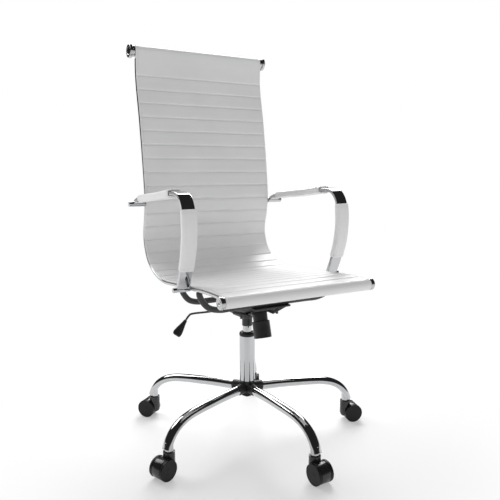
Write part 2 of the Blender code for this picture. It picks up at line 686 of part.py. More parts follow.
def make_lever(steel, plastic):
    """Bent lift lever that reaches in over the valve, and its flat grip."""
    start = Vector((-0.1935, 0.0, LEVER_Z - 0.0142))
    axis = Vector((-0.0205, 0.0, -0.0265)).normalized()
    bend = [start + axis * along for along in (-0.0100, -0.0030, 0.0040, 0.0120)]
    knots = [(0.0050, LEVER_Z), (-0.0600, LEVER_Z + 0.0004), (-0.1300, LEVER_Z + 0.0012), (-0.1700, LEVER_Z + 0.0020),
             (-0.1800, LEVER_Z + 0.0006)] + [(point.x, point.z) for point in bend]
    line = thinned(smooth_line(knots, 0.0030), 9.0)
    outline = oval(2 * LEVER_RADIUS, 2 * LEVER_RADIUS, 10)
    rod = sweep("lever_rod", front_path(line, 0.0), lambda number: outline, steel, None, 50.0)
    broad = (Vector((axis.z, 0.0, -axis.x)) * -0.72 + Vector((0.0, -0.69, 0.0))).normalized()
    thin = axis.cross(broad)
    shape = [(0.000, 0.0044, 0.0044), (0.006, 0.0052, 0.0048), (0.014, 0.0070, 0.0052), (0.024, 0.0096, 0.0052),
             (0.034, 0.0118, 0.0048), (0.041, 0.0124, 0.0044), (0.046, 0.0112, 0.0038), (0.0485, 0.0080, 0.0026)]
    frames = [(start + axis * along, broad, thin) for along, wide, thick in shape]
    grip = sweep("lever_paddle", frames, lambda number: oval(2 * shape[number][1], 2 * shape[number][2], 18),
                 plastic, None, 60.0)
    r = LEVER_RADIUS + 2 * GAP
    bore = lathe("bore", [(0.0, -0.010), (r, -0.010), (r, 0.0150), (0.0, 0.0150)], plastic, 12,
                 Matrix.Translation(start) @ axis.to_track_quat("Z", "Y").to_matrix().to_4x4())
    join(grip, [bore], "DIFFERENCE")


# ---------------------------------------------------------------- gas lift
def make_gas_lift(chrome, steel, plastic):
    r = TUBE_RADIUS
    inner = r - 0.0020
    bottom = TUBE_BOTTOM_Z
    step = HUB_TOP_Z + GAP
    spigot = SPIGOT_RADIUS
    profile = [(ROD_RADIUS + 0.0004, bottom), (spigot - 0.0010, bottom), (spigot, bottom + 0.0010), (spigot, step),
               (r, step), (r, TUBE_TOP_Z), (inner, TUBE_TOP_Z), (inner, step + 0.0025), (spigot - 0.0020, step + 0.0025),
               (spigot - 0.0020, bottom + 0.0040), (ROD_RADIUS + 0.0004, bottom + 0.0040)]
    lathe("column_tube", profile, chrome, 30)
    bore = LIFT_RADIUS + 0.0003
    profile = [(bore, TUBE_TOP_Z - 0.070), (inner - GAP, TUBE_TOP_Z - 0.070), (inner - GAP, TUBE_TOP_Z + GAP),
               (r + 0.0004, TUBE_TOP_Z + GAP), (r + 0.0008, TUBE_TOP_Z + 0.0020), (r + 0.0004, BUSH_TOP_Z - 0.0040),
               (r - 0.0030, BUSH_TOP_Z), (bore, BUSH_TOP_Z)]
    lathe("column_bush", profile, plastic, 30)
    r = LIFT_RADIUS
    low = step + 0.0060
    profile = [(ROD_RADIUS + 0.0006, low), (r - 0.0010, low), (r, low + 0.0010), (r, LIFT_TOP_Z - 0.0008),
               (r - 0.0008, LIFT_TOP_Z), (0.0043, LIFT_TOP_Z), (0.0043, LIFT_TOP_Z - 0.0150), (0.0, LIFT_TOP_Z - 0.0150),
               (0.0, LIFT_TOP_Z - 0.0250), (ROD_RADIUS + 0.0006, LIFT_TOP_Z - 0.0250)]
    make_lift_cylinder(profile, steel)
    profile = [(0.0, bottom - 0.0040), (ROD_RADIUS - 0.0006, bottom - 0.0040), (ROD_RADIUS, bottom - 0.0034),
               (ROD_RADIUS, 0.2990), (0.0, 0.3000)]
    lathe("piston_rod", profile, steel, 20)
    profile = [(0.0, LIFT_TOP_Z - 0.0085), (0.0040, LIFT_TOP_Z - 0.0085), (0.0040, LEVER_Z - LEVER_RADIUS - 0.0008),
               (0.0034, LEVER_Z - LEVER_RADIUS - GAP), (0.0, LEVER_Z - LEVER_RADIUS - GAP)]
    lathe("valve_pin", profile, steel, 16)
    profile = [(ROD_RADIUS + 0.0004, bottom + 0.0043), (0.0100, bottom + 0.0043), (0.0100, bottom + 0.0083),
               (ROD_RADIUS + 0.0004, bottom + 0.0083)]
    lathe("thrust_bearing", profile, steel, 24)
    profile = [(ROD_RADIUS + GAP, bottom - 0.0030), (0.0095, bottom - 0.0030), (0.0095, bottom - 0.0006),
               (ROD_RADIUS + GAP, bottom - 0.0006)]
    lathe("retaining_clip", profile, steel, 24)


def make_lift_cylinder(profile, surface):
    """Lift cylinder with a valve bore at the top and a rod bore at the bottom."""
    split = profile.index((0.0, LIFT_TOP_Z - 0.0150))
    outer = profile[:split]
    solid_outline = [(0.0, profile[0][1])] + outer[1:4] + [(outer[4][0], LIFT_TOP_Z), (0.0, LIFT_TOP_Z)]
    body = lathe("gas_cylinder", solid_outline, surface, 28)
    r = ROD_RADIUS + 0.0006
    low = lathe("low", [(0.0, 0.0900), (r, 0.0900), (r, LIFT_TOP_Z - 0.0250), (0.0, LIFT_TOP_Z - 0.0250)], surface, 20)
    high = lathe("high", [(0.0, LIFT_TOP_Z - 0.0150), (0.0043, LIFT_TOP_Z - 0.0150), (0.0043, LIFT_TOP_Z + 0.010),
                          (0.0, LIFT_TOP_Z + 0.010)], surface, 16)
    return join(body, [low, high], "DIFFERENCE")


# ---------------------------------------------------------------- base and casters
def leg_matrix(number):
    return Matrix.Rotation(math.radians(FIRST_LEG_DEG + 360.0 / LEG_COUNT * number), 4, "Z")


def make_hub(surface):
    """Moulded hub with five leg sockets round the column's bore."""
    r = SPIGOT_RADIUS + GAP
    profile = [(r, HUB_BOTTOM_Z), (0.0185, HUB_BOTTOM_Z), (0.0190, HUB_BOTTOM_Z + 0.0010), (0.0172, HUB_BOTTOM_Z + 0.0050),
               (0.0168, HUB_BOTTOM_Z + 0.0100), (0.0200, HUB_BOTTOM_Z + 0.0150), (0.0200, HUB_TOP_Z), (r, HUB_TOP_Z)]
    hub = lathe("base_hub", profile, surface, 30)
    tools = []
    for number in range(LEG_COUNT):
        place = leg_matrix(number)
        frames = []
        for reach, size in ((0.0160, 1.00), (HUB_SOCKET_END - 0.0020, 1.00), (HUB_SOCKET_END, 0.94)):
            frames.append((place @ Vector((reach, 0.0, 0.1420)), place @ Vector((0.0, 1.0, 0.0)), Vector((0.0, 0.0, 1.0)), size))
        sizes = [frame[3] for frame in frames]
        tools.append(sweep("socket", [frame[:3] for frame in frames],
                           lambda step, sizes=sizes: rounded_box(0.0250 * sizes[step], 0.0300 * sizes[step], 0.0105, 2),
                           surface, None, 50.0))
    hub = join(hub, tools, "UNION")
    bore = lathe("bore", [(0.0, 0.0900), (r, 0.0900), (r, 0.2000), (0.0, 0.2000)], surface, 30)
    return join(hub, [bore], "DIFFERENCE")


def make_leg(number, surface):
    """Tapered oval leg that arches down to its caster socket."""
    place = leg_matrix(number)
    knots = [(HUB_SOCKET_END + GAP, 0.1420), (0.1050, 0.1427), (0.1550, 0.1415), (0.2000, 0.1400), (0.2400, 0.1365),
             (0.2720, 0.1280), (0.2970, 0.1130), (0.3140, 0.0930), (0.3235, 0.0710)]
    line = thinned(smooth_line(knots, 0.0060), 7.0, 0.060)
    side = normals_2d(line)
    steps = len(line)
    frames = []
    for point, normal in zip(line, side):
        frames.append((place @ Vector((point[0], 0.0, point[1])), place @ Vector((0.0, 1.0, 0.0)),
                       place @ Vector((normal[0], 0.0, normal[1]))))

    def section(step):
        share = step / (steps - 1)
        return oval(0.0244 + 0.0050 * share ** 3, 0.0280 - 0.0070 * share, 16)

    leg = sweep("base_leg_%d" % (number + 1), frames, section, surface, None, 50.0)
    at = place @ Matrix.Translation((STEM_CIRCLE, 0.0, 0.0))
    profile = [(0.0, SOCKET_BOTTOM_Z), (SOCKET_RADIUS - 0.0010, SOCKET_BOTTOM_Z), (SOCKET_RADIUS, SOCKET_BOTTOM_Z + 0.0010),
               (SOCKET_RADIUS, SOCKET_TOP_Z - 0.0020), (SOCKET_RADIUS - 0.0020, SOCKET_TOP_Z), (0.0, SOCKET_TOP_Z)]
    leg = join(leg, [lathe("socket", profile, surface, 20, at)], "UNION")
    r = STEM_RADIUS + GAP
    hole = [(0.0, 0.0500), (r, 0.0500), (r, SOCKET_TOP_Z - 0.0040), (0.0, SOCKET_TOP_Z - 0.0040)]
    floor = plate("floor", [(-1.0, -1.0), (1.0, -1.0), (1.0, 1.0), (-1.0, 1.0)], -0.1000, SOCKET_BOTTOM_Z, surface)
    return join(leg, [lathe("hole", hole, surface, 12, at), floor], "DIFFERENCE")


def caster_matrix(number):
    """Local X points outward along the trail, local Z is the swivel axis."""
    return leg_matrix(number) @ Matrix.Translation((STEM_CIRCLE, 0.0, 0.0))


def across(number, sign):
    """Placement whose local Z runs along the axle, away from the hood."""
    turn = Matrix.Rotation(math.radians(-90.0 * sign), 4, "X")
    return caster_matrix(number) @ Matrix.Translation((CASTER_TRAIL, 0.0, WHEEL_RADIUS)) @ turn


def make_caster(number, steel, plastic):
    at = caster_matrix(number)
    top = SOCKET_BOTTOM_Z - GAP
    profile = [(0.0, 0.0465), (STEM_RADIUS, 0.0465), (STEM_RADIUS, SOCKET_TOP_Z - 0.0065),
               (STEM_RADIUS - 0.0020, SOCKET_TOP_Z - 0.0045), (0.0, SOCKET_TOP_Z - 0.0045)]
    lathe("caster_stem_%d" % (number + 1), profile, steel, 16, at)
    name = "caster_hood_%d" % (number + 1)
    h = HOOD_HALF_WIDTH
    web = [(0.0, -h), (HOOD_RADIUS - 0.0012, -h), (HOOD_RADIUS, -h + 0.0012), (HOOD_RADIUS, h - 0.0012),
           (HOOD_RADIUS - 0.0012, h), (0.0, h)]
    hood = lathe(name, web, plastic, 22, across(number, 1.0))
    r = HOOD_BOSS_RADIUS
    boss = [(0.0, 0.0150), (r - 0.0070, 0.0155), (r - 0.0020, 0.0200), (r, 0.0270), (r, top - 0.0008), (r - 0.0008, top),
            (0.0, top)]
    hood = join(hood, [lathe("boss", boss, plastic, 16, at)], "UNION")
    wells = []
    for sign in (-1.0, 1.0):
        well = [(0.0, h + 0.0003), (WHEEL_RADIUS + 0.0009, h + 0.0003), (WHEEL_RADIUS + 0.0009, 0.0400), (0.0, 0.0400)]
        wells.append(lathe("well", well, plastic, 22, across(number, sign)))
    r = STEM_RADIUS + GAP
    wells.append(lathe("hole", [(0.0, 0.0460), (r, 0.0460), (r, 0.0800), (0.0, 0.0800)], plastic, 12, at))
    wells.append(plate("clear", [(-1.0, -1.0), (1.0, -1.0), (1.0, 1.0), (-1.0, 1.0)], -0.1000, HOOD_BOTTOM_Z, plastic))
    hood = join(hood, wells, "DIFFERENCE")
    axle = [(0.0, -WHEEL_OUTER + 0.0020), (AXLE_RADIUS, -WHEEL_OUTER + 0.0020), (AXLE_RADIUS, WHEEL_OUTER - 0.0020),
            (0.0, WHEEL_OUTER - 0.0020)]
    join(hood, [lathe("axle", axle, plastic, 12, across(number, 1.0))], "UNION")
    for sign, side in ((-1.0, "a"), (1.0, "b")):
        r = WHEEL_RADIUS
        a = WHEEL_INNER
        b = WHEEL_OUTER
        bore = AXLE_RADIUS + 0.0003
        profile = [(bore, a), (r - 0.0010, a), (r, a + 0.0010), (r, b - 0.0025), (r - 0.0025, b), (0.0200, b),
                   (0.0190, b - 0.0006), (0.0, b - 0.0006), (0.0, b - 0.0016), (bore, b - 0.0016)]
        lathe("caster_wheel_%d%s" % (number + 1, side), profile, plastic, 20, across(number, sign))


def main():
    clear_scene()
    leather = material("white_leather", (0.83, 0.83, 0.83), 0.45, 0.0)
    chrome = material("chrome", (0.80, 0.80, 0.81), 0.08, 1.0)
    black_steel = material("black_steel", (0.03, 0.03, 0.032), 0.40, 0.3)
    plain_steel = material("plain_steel", (0.55, 0.55, 0.57), 0.30, 1.0)
    plastic = material("black_plastic", (0.03, 0.03, 0.033), 0.45, 0.0)

    make_sling(leather)
    make_bar("top_bar", TOP_BAR, TOP_ROLL_RADIUS, plain_steel)
    make_bar("front_bar", FRONT_BAR, FRONT_ROLL_RADIUS, plain_steel)
    front_line, top_line = pad_lines()
    for side, sign in (("left", 1.0), ("right", -1.0)):
        make_side_rail("side_rail_" + side, sign, chrome)
        make_top_cap("top_end_cap_" + side, sign, chrome)
        make_front_cap("front_end_cap_" + side, sign, chrome)
        make_arm("arm_" + side, sign, chrome)
        make_pad("arm_top_pad_" + side, top_line, sign, leather)
        make_pad("arm_front_pad_" + side, front_line, sign, leather)
    make_cross_tube("front_cross_tube", FRONT_TUBE_Y, 0.056, black_steel)
    make_cross_tube("rear_cross_tube", REAR_TUBE_Y, 0.046, black_steel)
    make_seat_plate(black_steel)
    make_pivot_pin(plain_steel)
    make_tilt_spring(plain_steel)
    make_housing(black_steel)
    make_knob(plastic)
    make_tension_bolt(plain_steel)
    make_lever(black_steel, plastic)
    make_gas_lift(chrome, plain_steel, plastic)
    make_hub(plastic)
    for number in range(LEG_COUNT):
        make_leg(number, chrome)
        make_caster(number, plain_steel, plastic)
    for item in bpy.data.objects:
        item.data.transform(Matrix.Translation((COLUMN_X, COLUMN_Y, 0.0)))


main()
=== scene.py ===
import json
import math

import bpy
import numpy as np
from mathutils import Matrix, Vector


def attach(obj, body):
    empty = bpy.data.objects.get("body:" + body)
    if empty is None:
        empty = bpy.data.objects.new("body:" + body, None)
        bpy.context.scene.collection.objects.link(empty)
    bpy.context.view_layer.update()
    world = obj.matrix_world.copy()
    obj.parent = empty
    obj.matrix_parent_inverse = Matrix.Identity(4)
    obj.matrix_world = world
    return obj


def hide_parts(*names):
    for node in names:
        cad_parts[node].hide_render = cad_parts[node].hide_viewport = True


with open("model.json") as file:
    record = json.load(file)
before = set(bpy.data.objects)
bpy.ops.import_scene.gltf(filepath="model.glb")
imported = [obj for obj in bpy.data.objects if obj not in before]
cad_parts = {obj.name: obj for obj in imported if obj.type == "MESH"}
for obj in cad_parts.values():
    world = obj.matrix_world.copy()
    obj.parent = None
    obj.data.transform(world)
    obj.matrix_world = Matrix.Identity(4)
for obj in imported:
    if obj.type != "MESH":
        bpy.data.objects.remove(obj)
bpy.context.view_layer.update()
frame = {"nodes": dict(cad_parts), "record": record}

# Looks for a swivel office chair. Each piece is a surface worked out on a grid, in metres,
# about the column's axis, then moved with the column to its place in the shared frame.
columnSpot = np.array([-0.00535, 0.01735, 0.0])
bodyOf = {node: body for body, nodes in frame["record"]["behaviour"]["bodies"].items() for node in nodes}
print("frame loaded")


# An even line is a centripetal Catmull-Rom curve through the knots, read again at equal steps of length.
def evenLine(knots, spacing):
    knots = np.array(knots, float)
    far = np.vstack([2 * knots[:1] - knots[1:2], knots, 2 * knots[-1:] - knots[-2:-1]])
    p0, p1, p2, p3 = [far[k:len(far) - 3 + k, None, :] for k in range(4)]
    span = [np.sqrt(np.linalg.norm(b - a, axis=-1, keepdims=True)) for a, b in ((p0, p1), (p1, p2), (p2, p3))]
    t1 = span[0]
    t2 = t1 + span[1]
    t3 = t2 + span[2]
    t = t1 + (t2 - t1) * np.linspace(0, 1, 40, endpoint=False)[None, :, None]
    a1 = (t1 - t) / t1 * p0 + t / t1 * p1
    a2 = (t2 - t) / (t2 - t1) * p1 + (t - t1) / (t2 - t1) * p2
    a3 = (t3 - t) / (t3 - t2) * p2 + (t - t2) / (t3 - t2) * p3
    b1 = (t2 - t) / t2 * a1 + t / t2 * a2
    b2 = (t3 - t) / (t3 - t1) * a2 + (t - t1) / (t3 - t1) * a3
    fine = ((t2 - t) / (t2 - t1) * b1 + (t - t1) / (t2 - t1) * b2).reshape(-1, knots.shape[1])
    fine = np.vstack([fine, knots[-1:]])
    total = lengths(fine)[-1]
    return readLine(fine, np.linspace(0, total, max(2, int(round(total / spacing)) + 1)))


# Lengths are the running sums of the steps between a line's points.
def lengths(line):
    return np.concatenate([[0], np.cumsum(np.linalg.norm(np.diff(line, axis=0), axis=1))])


# A line is read at given lengths by straight interpolation of each coordinate.
def readLine(line, places):
    along = lengths(line)
    return np.column_stack([np.interp(places, along, line[:, k]) for k in range(line.shape[1])])


# A flat line's normals are its directions turned a quarter turn anticlockwise.
def flatNormals(line):
    way = np.gradient(line, axis=0)
    way /= np.linalg.norm(way, axis=1)[:, None]
    return np.column_stack([-way[:, 1], way[:, 0]])


# A box outline is a rectangle whose corners are quarter circles, with extra points that hold its sides flat.
def boxOutline(width, height, corner, steps=6):
    width, height, corner = [np.atleast_1d(v).astype(float)[:, None] for v in (width, height, corner)]
    turn = np.repeat(np.arange(4), steps + 1)
    angle = np.pi / 2 * (turn + np.tile(np.linspace(0, 1, steps + 1), 4))
    x = (width / 2 - corner) * np.where((turn == 0) | (turn == 3), 1, -1) + corner * np.cos(angle)
    y = (height / 2 - corner) * np.where(turn < 2, 1, -1) + corner * np.sin(angle)
    arcs = np.stack([x, y], -1).reshape(len(x), 4, steps + 1, 2)
    start = arcs[:, :, -1:]
    sides = start + (np.roll(arcs[:, :, :1], -1, axis=1) - start) * np.array([0.05, 0.35, 0.65, 0.95])[:, None]
    return np.concatenate([arcs, sides], axis=2).reshape(len(x), -1, 2)


# An oval outline is a superellipse: x and y go as cosine and sine to the power 2/p, where p = 2 is an ellipse.
def ovalOutline(width, height, count, power=2.0):
    angle = 2 * np.pi * np.arange(count) / count
    c, s = np.cos(angle), np.sin(angle)
    width, height = [np.atleast_1d(v).astype(float)[:, None] for v in (width, height)]
    return np.stack([width / 2 * np.sign(c) * abs(c) ** (2 / power),
                     height / 2 * np.sign(s) * abs(s) ** (2 / power)], -1)


# An eased outline has each corner c replaced by the curve (1-t)^2 a + 2t(1-t) c + t^2 b, with a and b on the
# two sides next to it, and one more point beyond each that keeps the side flat.
def eased(outline, radius, closed=True, steps=4):
    outline = np.array(outline, float)
    before, after = np.roll(outline, 1, axis=0) - outline, np.roll(outline, -1, axis=0) - outline
    near, far = np.linalg.norm(before, axis=1)[:, None], np.linalg.norm(after, axis=1)[:, None]
    r = np.minimum(radius, 0.28 * np.minimum(near, far))
    a, b = before / np.maximum(near, 1e-9) * r, after / np.maximum(far, 1e-9) * r
    t = np.linspace(0, 1, steps + 1)[None, :, None]
    curve = outline[:, None] + (1 - t) ** 2 * a[:, None] + t ** 2 * b[:, None]
    holdA, holdB = outline[:, None] + 1.6 * a[:, None], outline[:, None] + 1.6 * b[:, None]
    made = np.concatenate([holdA, curve, holdB], axis=1)
    if closed:
        return made.reshape(-1, 2)
    return np.vstack([outline[:1], made[1:-1].reshape(-1, 2), outline[-1:]])


# A skin joins each point of a grid to its neighbours in the next row and column. An end is open, a flat cap
# round its middle, or a pole where the whole row is one point.
def skin(grid, loopRows=False, loopCols=True, ends=("open", "open"), finish=0):
    middles = [grid[0].mean(axis=0), grid[-1].mean(axis=0)]
    grid = grid[1 if ends[0] == "pole" else 0:len(grid) - (1 if ends[1] == "pole" else 0)]
    rows, cols = grid.shape[:2]
    points = grid.reshape(-1, 3)
    r = np.arange(rows if loopRows else rows - 1)[:, None]
    c = np.arange(cols if loopCols else cols - 1)[None, :]
    nextR, nextC = (r + 1) % rows, (c + 1) % cols
    quads = np.stack([r * cols + c, r * cols + nextC, nextR * cols + nextC, nextR * cols + c], -1)
    quads = quads.reshape(-1, 4)
    fans = []
    around = np.arange(cols)
    for end, base in ((0, 0), (1, (rows - 1) * cols)):
        if ends[end] == "open":
            continue
        hub = np.full(cols, len(points))
        points = np.vstack([points, middles[end][None]])
        ring = [base + around, base + (around + 1) % cols]
        fans.append(np.stack([hub, *(ring if end else ring[::-1])], -1))
    fans = np.vstack(fans) if fans else np.zeros((0, 3), int)
    corners = np.vstack([quads[:, :3], quads[:, [0, 2, 3]], fans])
    a, b, c = [points[corners[:, k]] for k in range(3)]
    if (a * np.cross(b, c)).sum() < 0:
        quads, fans = quads[:, ::-1], fans[:, ::-1]
    return {"points": points, "quads": quads, "fans": fans, "finish": finish}


# A carried surface is an outline placed at each point of a path: centre + across * x + up * y.
def carry(path, outline):
    centre, across, up = path
    outline = np.broadcast_to(outline, (len(centre),) + outline.shape[-2:])
    return centre[:, None] + across[:, None] * outline[..., :1] + up[:, None] * outline[..., 1:]


# A side path lies in a plane of constant x, a front path in one of constant y, each with its normals as up,
# and a level path has y across and z up all along.
def sidePath(line, x):
    side = flatNormals(line)
    nought = np.zeros(len(line))
    return (np.column_stack([nought + x, line]), np.tile([1.0, 0, 0], (len(line), 1)),
            np.column_stack([nought, side]))


def frontPath(line, y):
    side = flatNormals(line)
    nought = np.zeros(len(line))
    return (np.column_stack([line[:, 0], nought + y, line[:, 1]]), np.tile([0, 1.0, 0], (len(line), 1)),
            np.column_stack([side[:, 0], nought, side[:, 1]]))


def levelPath(centre):
    return centre, np.tile([0, 1.0, 0], (len(centre), 1)), np.tile([0, 0, 1.0], (len(centre), 1))


# A bar is an outline carried along a path, its two ends rounded over: the outline shrinks by
# r (1 - cos) while the path runs on by r sin.
def bar(path, outline, endRound=0.0008, steps=3):
    centre, across, up = path
    outline = np.array(np.broadcast_to(outline, (len(centre),) + outline.shape[-2:]))
    half = np.abs(outline).max(axis=1)
    turn = np.linspace(0, np.pi / 2, steps + 1)
    rows = [[], [], [], []]
    for end in (0, -1):
        way = centre[end] - centre[1 if end == 0 else -2]
        way /= np.linalg.norm(way)
        shrink = 1 - endRound * (1 - np.cos(turn))[:, None] / half[end]
        run = -endRound + endRound * np.sin(turn)
        order = slice(None, None, -1) if end == 0 else slice(None)
        rings = outline[end][None] * shrink[:, None]
        rows[0].append((centre[end] + way * run[:, None])[order])
        rows[1].append(np.tile(across[end], (steps + 1, 1)))
        rows[2].append(np.tile(up[end], (steps + 1, 1)))
        rows[3].append(rings[order])
    inner = [centre[1:-1], across[1:-1], up[1:-1], outline[1:-1]]
    whole = [np.concatenate([rows[k][0], inner[k], rows[k][1]]) for k in range(4)]
    inset = carry((whole[0][[0, -1]], whole[1][[0, -1]], whole[2][[0, -1]]), whole[3][[0, -1]] * 0.93)
    grid = carry(whole[:3], whole[3])
    return skin(np.concatenate([inset[:1], grid, inset[1:]]), ends=("cap", "cap"))


# A turned surface takes its profile of radius and height round its axis: x = r cos, y = r sin, z = h.
def turned(profile, place=None, count=64, closed=False, finish=0, shape=None):
    profile = np.array(profile, float)
    angle = 2 * np.pi * np.arange(count) / count
    radius = np.repeat(profile[:, :1], count, axis=1)
    height = np.repeat(profile[:, 1:], count, axis=1)
    grid = np.stack([radius * np.cos(angle), radius * np.sin(angle), height], -1)
    if shape is not None:
        grid = shape(grid)
    if place is not None:
        turn = np.array(place)
        grid = grid @ turn[:3, :3].T + turn[:3, 3]
    ends = ["open" if closed else "cap" if abs(profile[k, 0]) > 1e-7 else "pole" for k in (0, -1)]
    return skin(grid, loopRows=closed, ends=ends, finish=finish)


# A slab carries a closed outline along x, with its two faces inset by a small round at each edge.
def slab(outline, x0, x1, edge, place=None):
    outline = eased(outline, edge * 1.6)
    inward = flatNormals(np.vstack([outline[-1:], outline, outline[:1]]))[1:-1]
    area = (outline[:, 0] * np.roll(outline[:, 1], -1) - np.roll(outline[:, 0], -1) * outline[:, 1]).sum()
    inward = inward if area > 0 else -inward
    turn = np.linspace(0, np.pi / 2, 4)
    depth = np.concatenate([[2.6 * edge], edge * (1 - np.sin(turn)), edge * (1 - np.sin(turn))[::-1],
                            [2.6 * edge]])
    step = edge * (1 - np.cos(turn))
    xs = np.concatenate([[x0], x0 + step, (x1 - step)[::-1], [x1]])
    rings = outline[None] + inward[None] * depth[:, None, None]
    grid = np.concatenate([np.broadcast_to(xs[:, None, None], rings.shape[:2] + (1,)), rings], -1)
    made = skin(grid, ends=("cap", "cap"))
    plates = [np.arange(len(outline))[::-1], (len(xs) - 1) * len(outline) + np.arange(len(outline))]
    made["plates"] = plates if made["quads"][0][0] == 0 else [plate[::-1] for plate in plates]
    made["points"], made["fans"] = made["points"][:-2], made["fans"][:0]
    if place is not None:
        turnBy = np.array(place)
        made["points"] = made["points"] @ turnBy[:3, :3].T + turnBy[:3, 3]
    return made


# Copies put one small closed shape at many places: point = origin + a * x + b * y + c * z for each place.
def copies(small, origins, axisA, axisB, axisC):
    x, y, z = small["points"].T
    spots = (origins[:, None] + axisA[:, None] * x[None, :, None] + axisB[:, None] * y[None, :, None]
             + axisC[:, None] * z[None, :, None])
    shift = (np.arange(len(origins)) * len(x))[:, None, None]
    return {"points": spots.reshape(-1, 3), "quads": (small["quads"][None] + shift).reshape(-1, 4),
            "fans": (small["fans"][None] + shift).reshape(-1, 3), "finish": small["finish"]}


# A turned shape is laid along x, its top outwards: a quarter turn about y, then a shift to its spot.
def alongX(x, y, z, sign=1.0):
    return Matrix.Translation((x, y, z)) @ Matrix.Rotation(math.radians(90.0 * sign), 4, "Y")


# A piece is one mesh of closed shells, each with its finish's number. It rides with its body.
def makePiece(name, shells, finishes, nodes, body=None, sharp=60):
    points, loops, sizes, kinds, shift = [], [], [], [], 0
    for shell in shells:
        for part in (shell["quads"], shell["fans"]):
            loops.append((part + shift).ravel())
            sizes.append(np.full(len(part), part.shape[1] if len(part) else 3))
            kinds.append(np.full(len(part), shell["finish"]))
        for plate in shell.get("plates", []):
            loops.append(plate + shift)
            sizes.append(np.array([len(plate)]))
            kinds.append(np.array([shell["finish"]]))
        points.append(shell["points"])
        shift += len(shell["points"])
    points, loops, sizes, kinds = [np.concatenate(v) for v in (points, loops, sizes, kinds)]
    mesh = bpy.data.meshes.new(name)
    mesh.vertices.add(len(points))
    mesh.vertices.foreach_set("co", (points + columnSpot).astype(np.float32).ravel())
    mesh.loops.add(len(loops))
    mesh.loops.foreach_set("vertex_index", loops.astype(np.int32))
    mesh.polygons.add(len(sizes))
    mesh.polygons.foreach_set("loop_start", (np.cumsum(sizes) - sizes).astype(np.int32))
    mesh.update(calc_edges=True)
    mesh.polygons.foreach_set("material_index", kinds.astype(np.int32))
    mesh.shade_smooth()
    mesh.set_sharp_from_angle(angle=math.radians(sharp))
    for finish in finishes:
        mesh.materials.append(finish)
    piece = bpy.data.objects.new(name, mesh)
    bpy.context.scene.collection.objects.link(piece)
    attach(piece, body or bodyOf[nodes[0]])
    if nodes:
        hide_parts(*nodes)
    return piece


# A new finish is one shader with its fixed values, and the Object coordinates that its patterns read.
def newFinish(name, colour, roughness, metallic=0.0, **more):
    finish = bpy.data.materials.new(name)
    finish.use_nodes = True
    nodes, links = finish.node_tree.nodes, finish.node_tree.links
    shader = nodes["Principled BSDF"]
    shader.inputs["Base Color"].default_value = (*colour, 1.0)
    shader.inputs["Roughness"].default_value = roughness
    shader.inputs["Metallic"].default_value = metallic
    for key, value in more.items():
        shader.inputs[key.replace("_", " ")].default_value = value
    place = nodes.new("ShaderNodeTexCoord")
    return finish, nodes, links, shader, place.outputs["Object"]


# Cloudy noise over the piece, drawn out along the axes where a stretch is given.
def noise(nodes, links, place, scale, detail=3.0, stretch=None):
    if stretch:
        mapping = nodes.new("ShaderNodeMapping")
        mapping.inputs["Scale"].default_value = stretch
        links.new(place, mapping.inputs["Vector"])
        place = mapping.outputs["Vector"]
    made = nodes.new("ShaderNodeTexNoise")
    made.inputs["Scale"].default_value = scale
    made.inputs["Detail"].default_value = detail
    links.new(place, made.inputs["Vector"])
    return made.outputs["Fac"]


# A value is carried from one range to another in a straight or an eased line, and held at its ends.
def spread(nodes, links, value, low, high, fromLow=0.3, fromHigh=0.7, ease="LINEAR"):
    made = nodes.new("ShaderNodeMapRange")
    made.interpolation_type = ease
    for key, number in (("From Min", fromLow), ("From Max", fromHigh), ("To Min", low), ("To Max", high)):
        made.inputs[key].default_value = number
    links.new(value, made.inputs["Value"])
    return made.outputs["Result"]


# Two colours are mixed by a value.
def tint(nodes, links, value, dark, light, low=0.3, high=0.7):
    ramp = nodes.new("ShaderNodeValToRGB")
    ramp.color_ramp.elements[0].position = low
    ramp.color_ramp.elements[0].color = (*dark, 1.0)
    ramp.color_ramp.elements[1].position = high
    ramp.color_ramp.elements[1].color = (*light, 1.0)
    links.new(value, ramp.inputs["Fac"])
    return ramp.outputs["Color"]


# A fine relief, its depth in metres, follows a value and lies over an earlier relief where one is given.
def relief(nodes, links, value, shader, strength, distance, after=None):
    bump = nodes.new("ShaderNodeBump")
    bump.inputs["Strength"].default_value = strength
    bump.inputs["Distance"].default_value = distance
    links.new(value, bump.inputs["Height"])
    if after is not None:
        links.new(after, bump.inputs["Normal"])
    links.new(bump.outputs["Normal"], shader.inputs["Normal"])
    return bump.outputs["Normal"]


leatherLook = {"light": (0.82, 0.82, 0.825), "dark": (0.795, 0.795, 0.80), "roughness": 0.40,
               "grain": 760.0, "grainDepth": 0.00016, "crease": 140.0, "creaseDepth": 0.0003,
               "warp": 260.0, "warpReach": 0.0016, "patch": 9.0, "dull": 38.0}
padLeatherLook = {**leatherLook, "light": (0.87, 0.87, 0.875), "dark": (0.845, 0.845, 0.85), "roughness": 0.46}


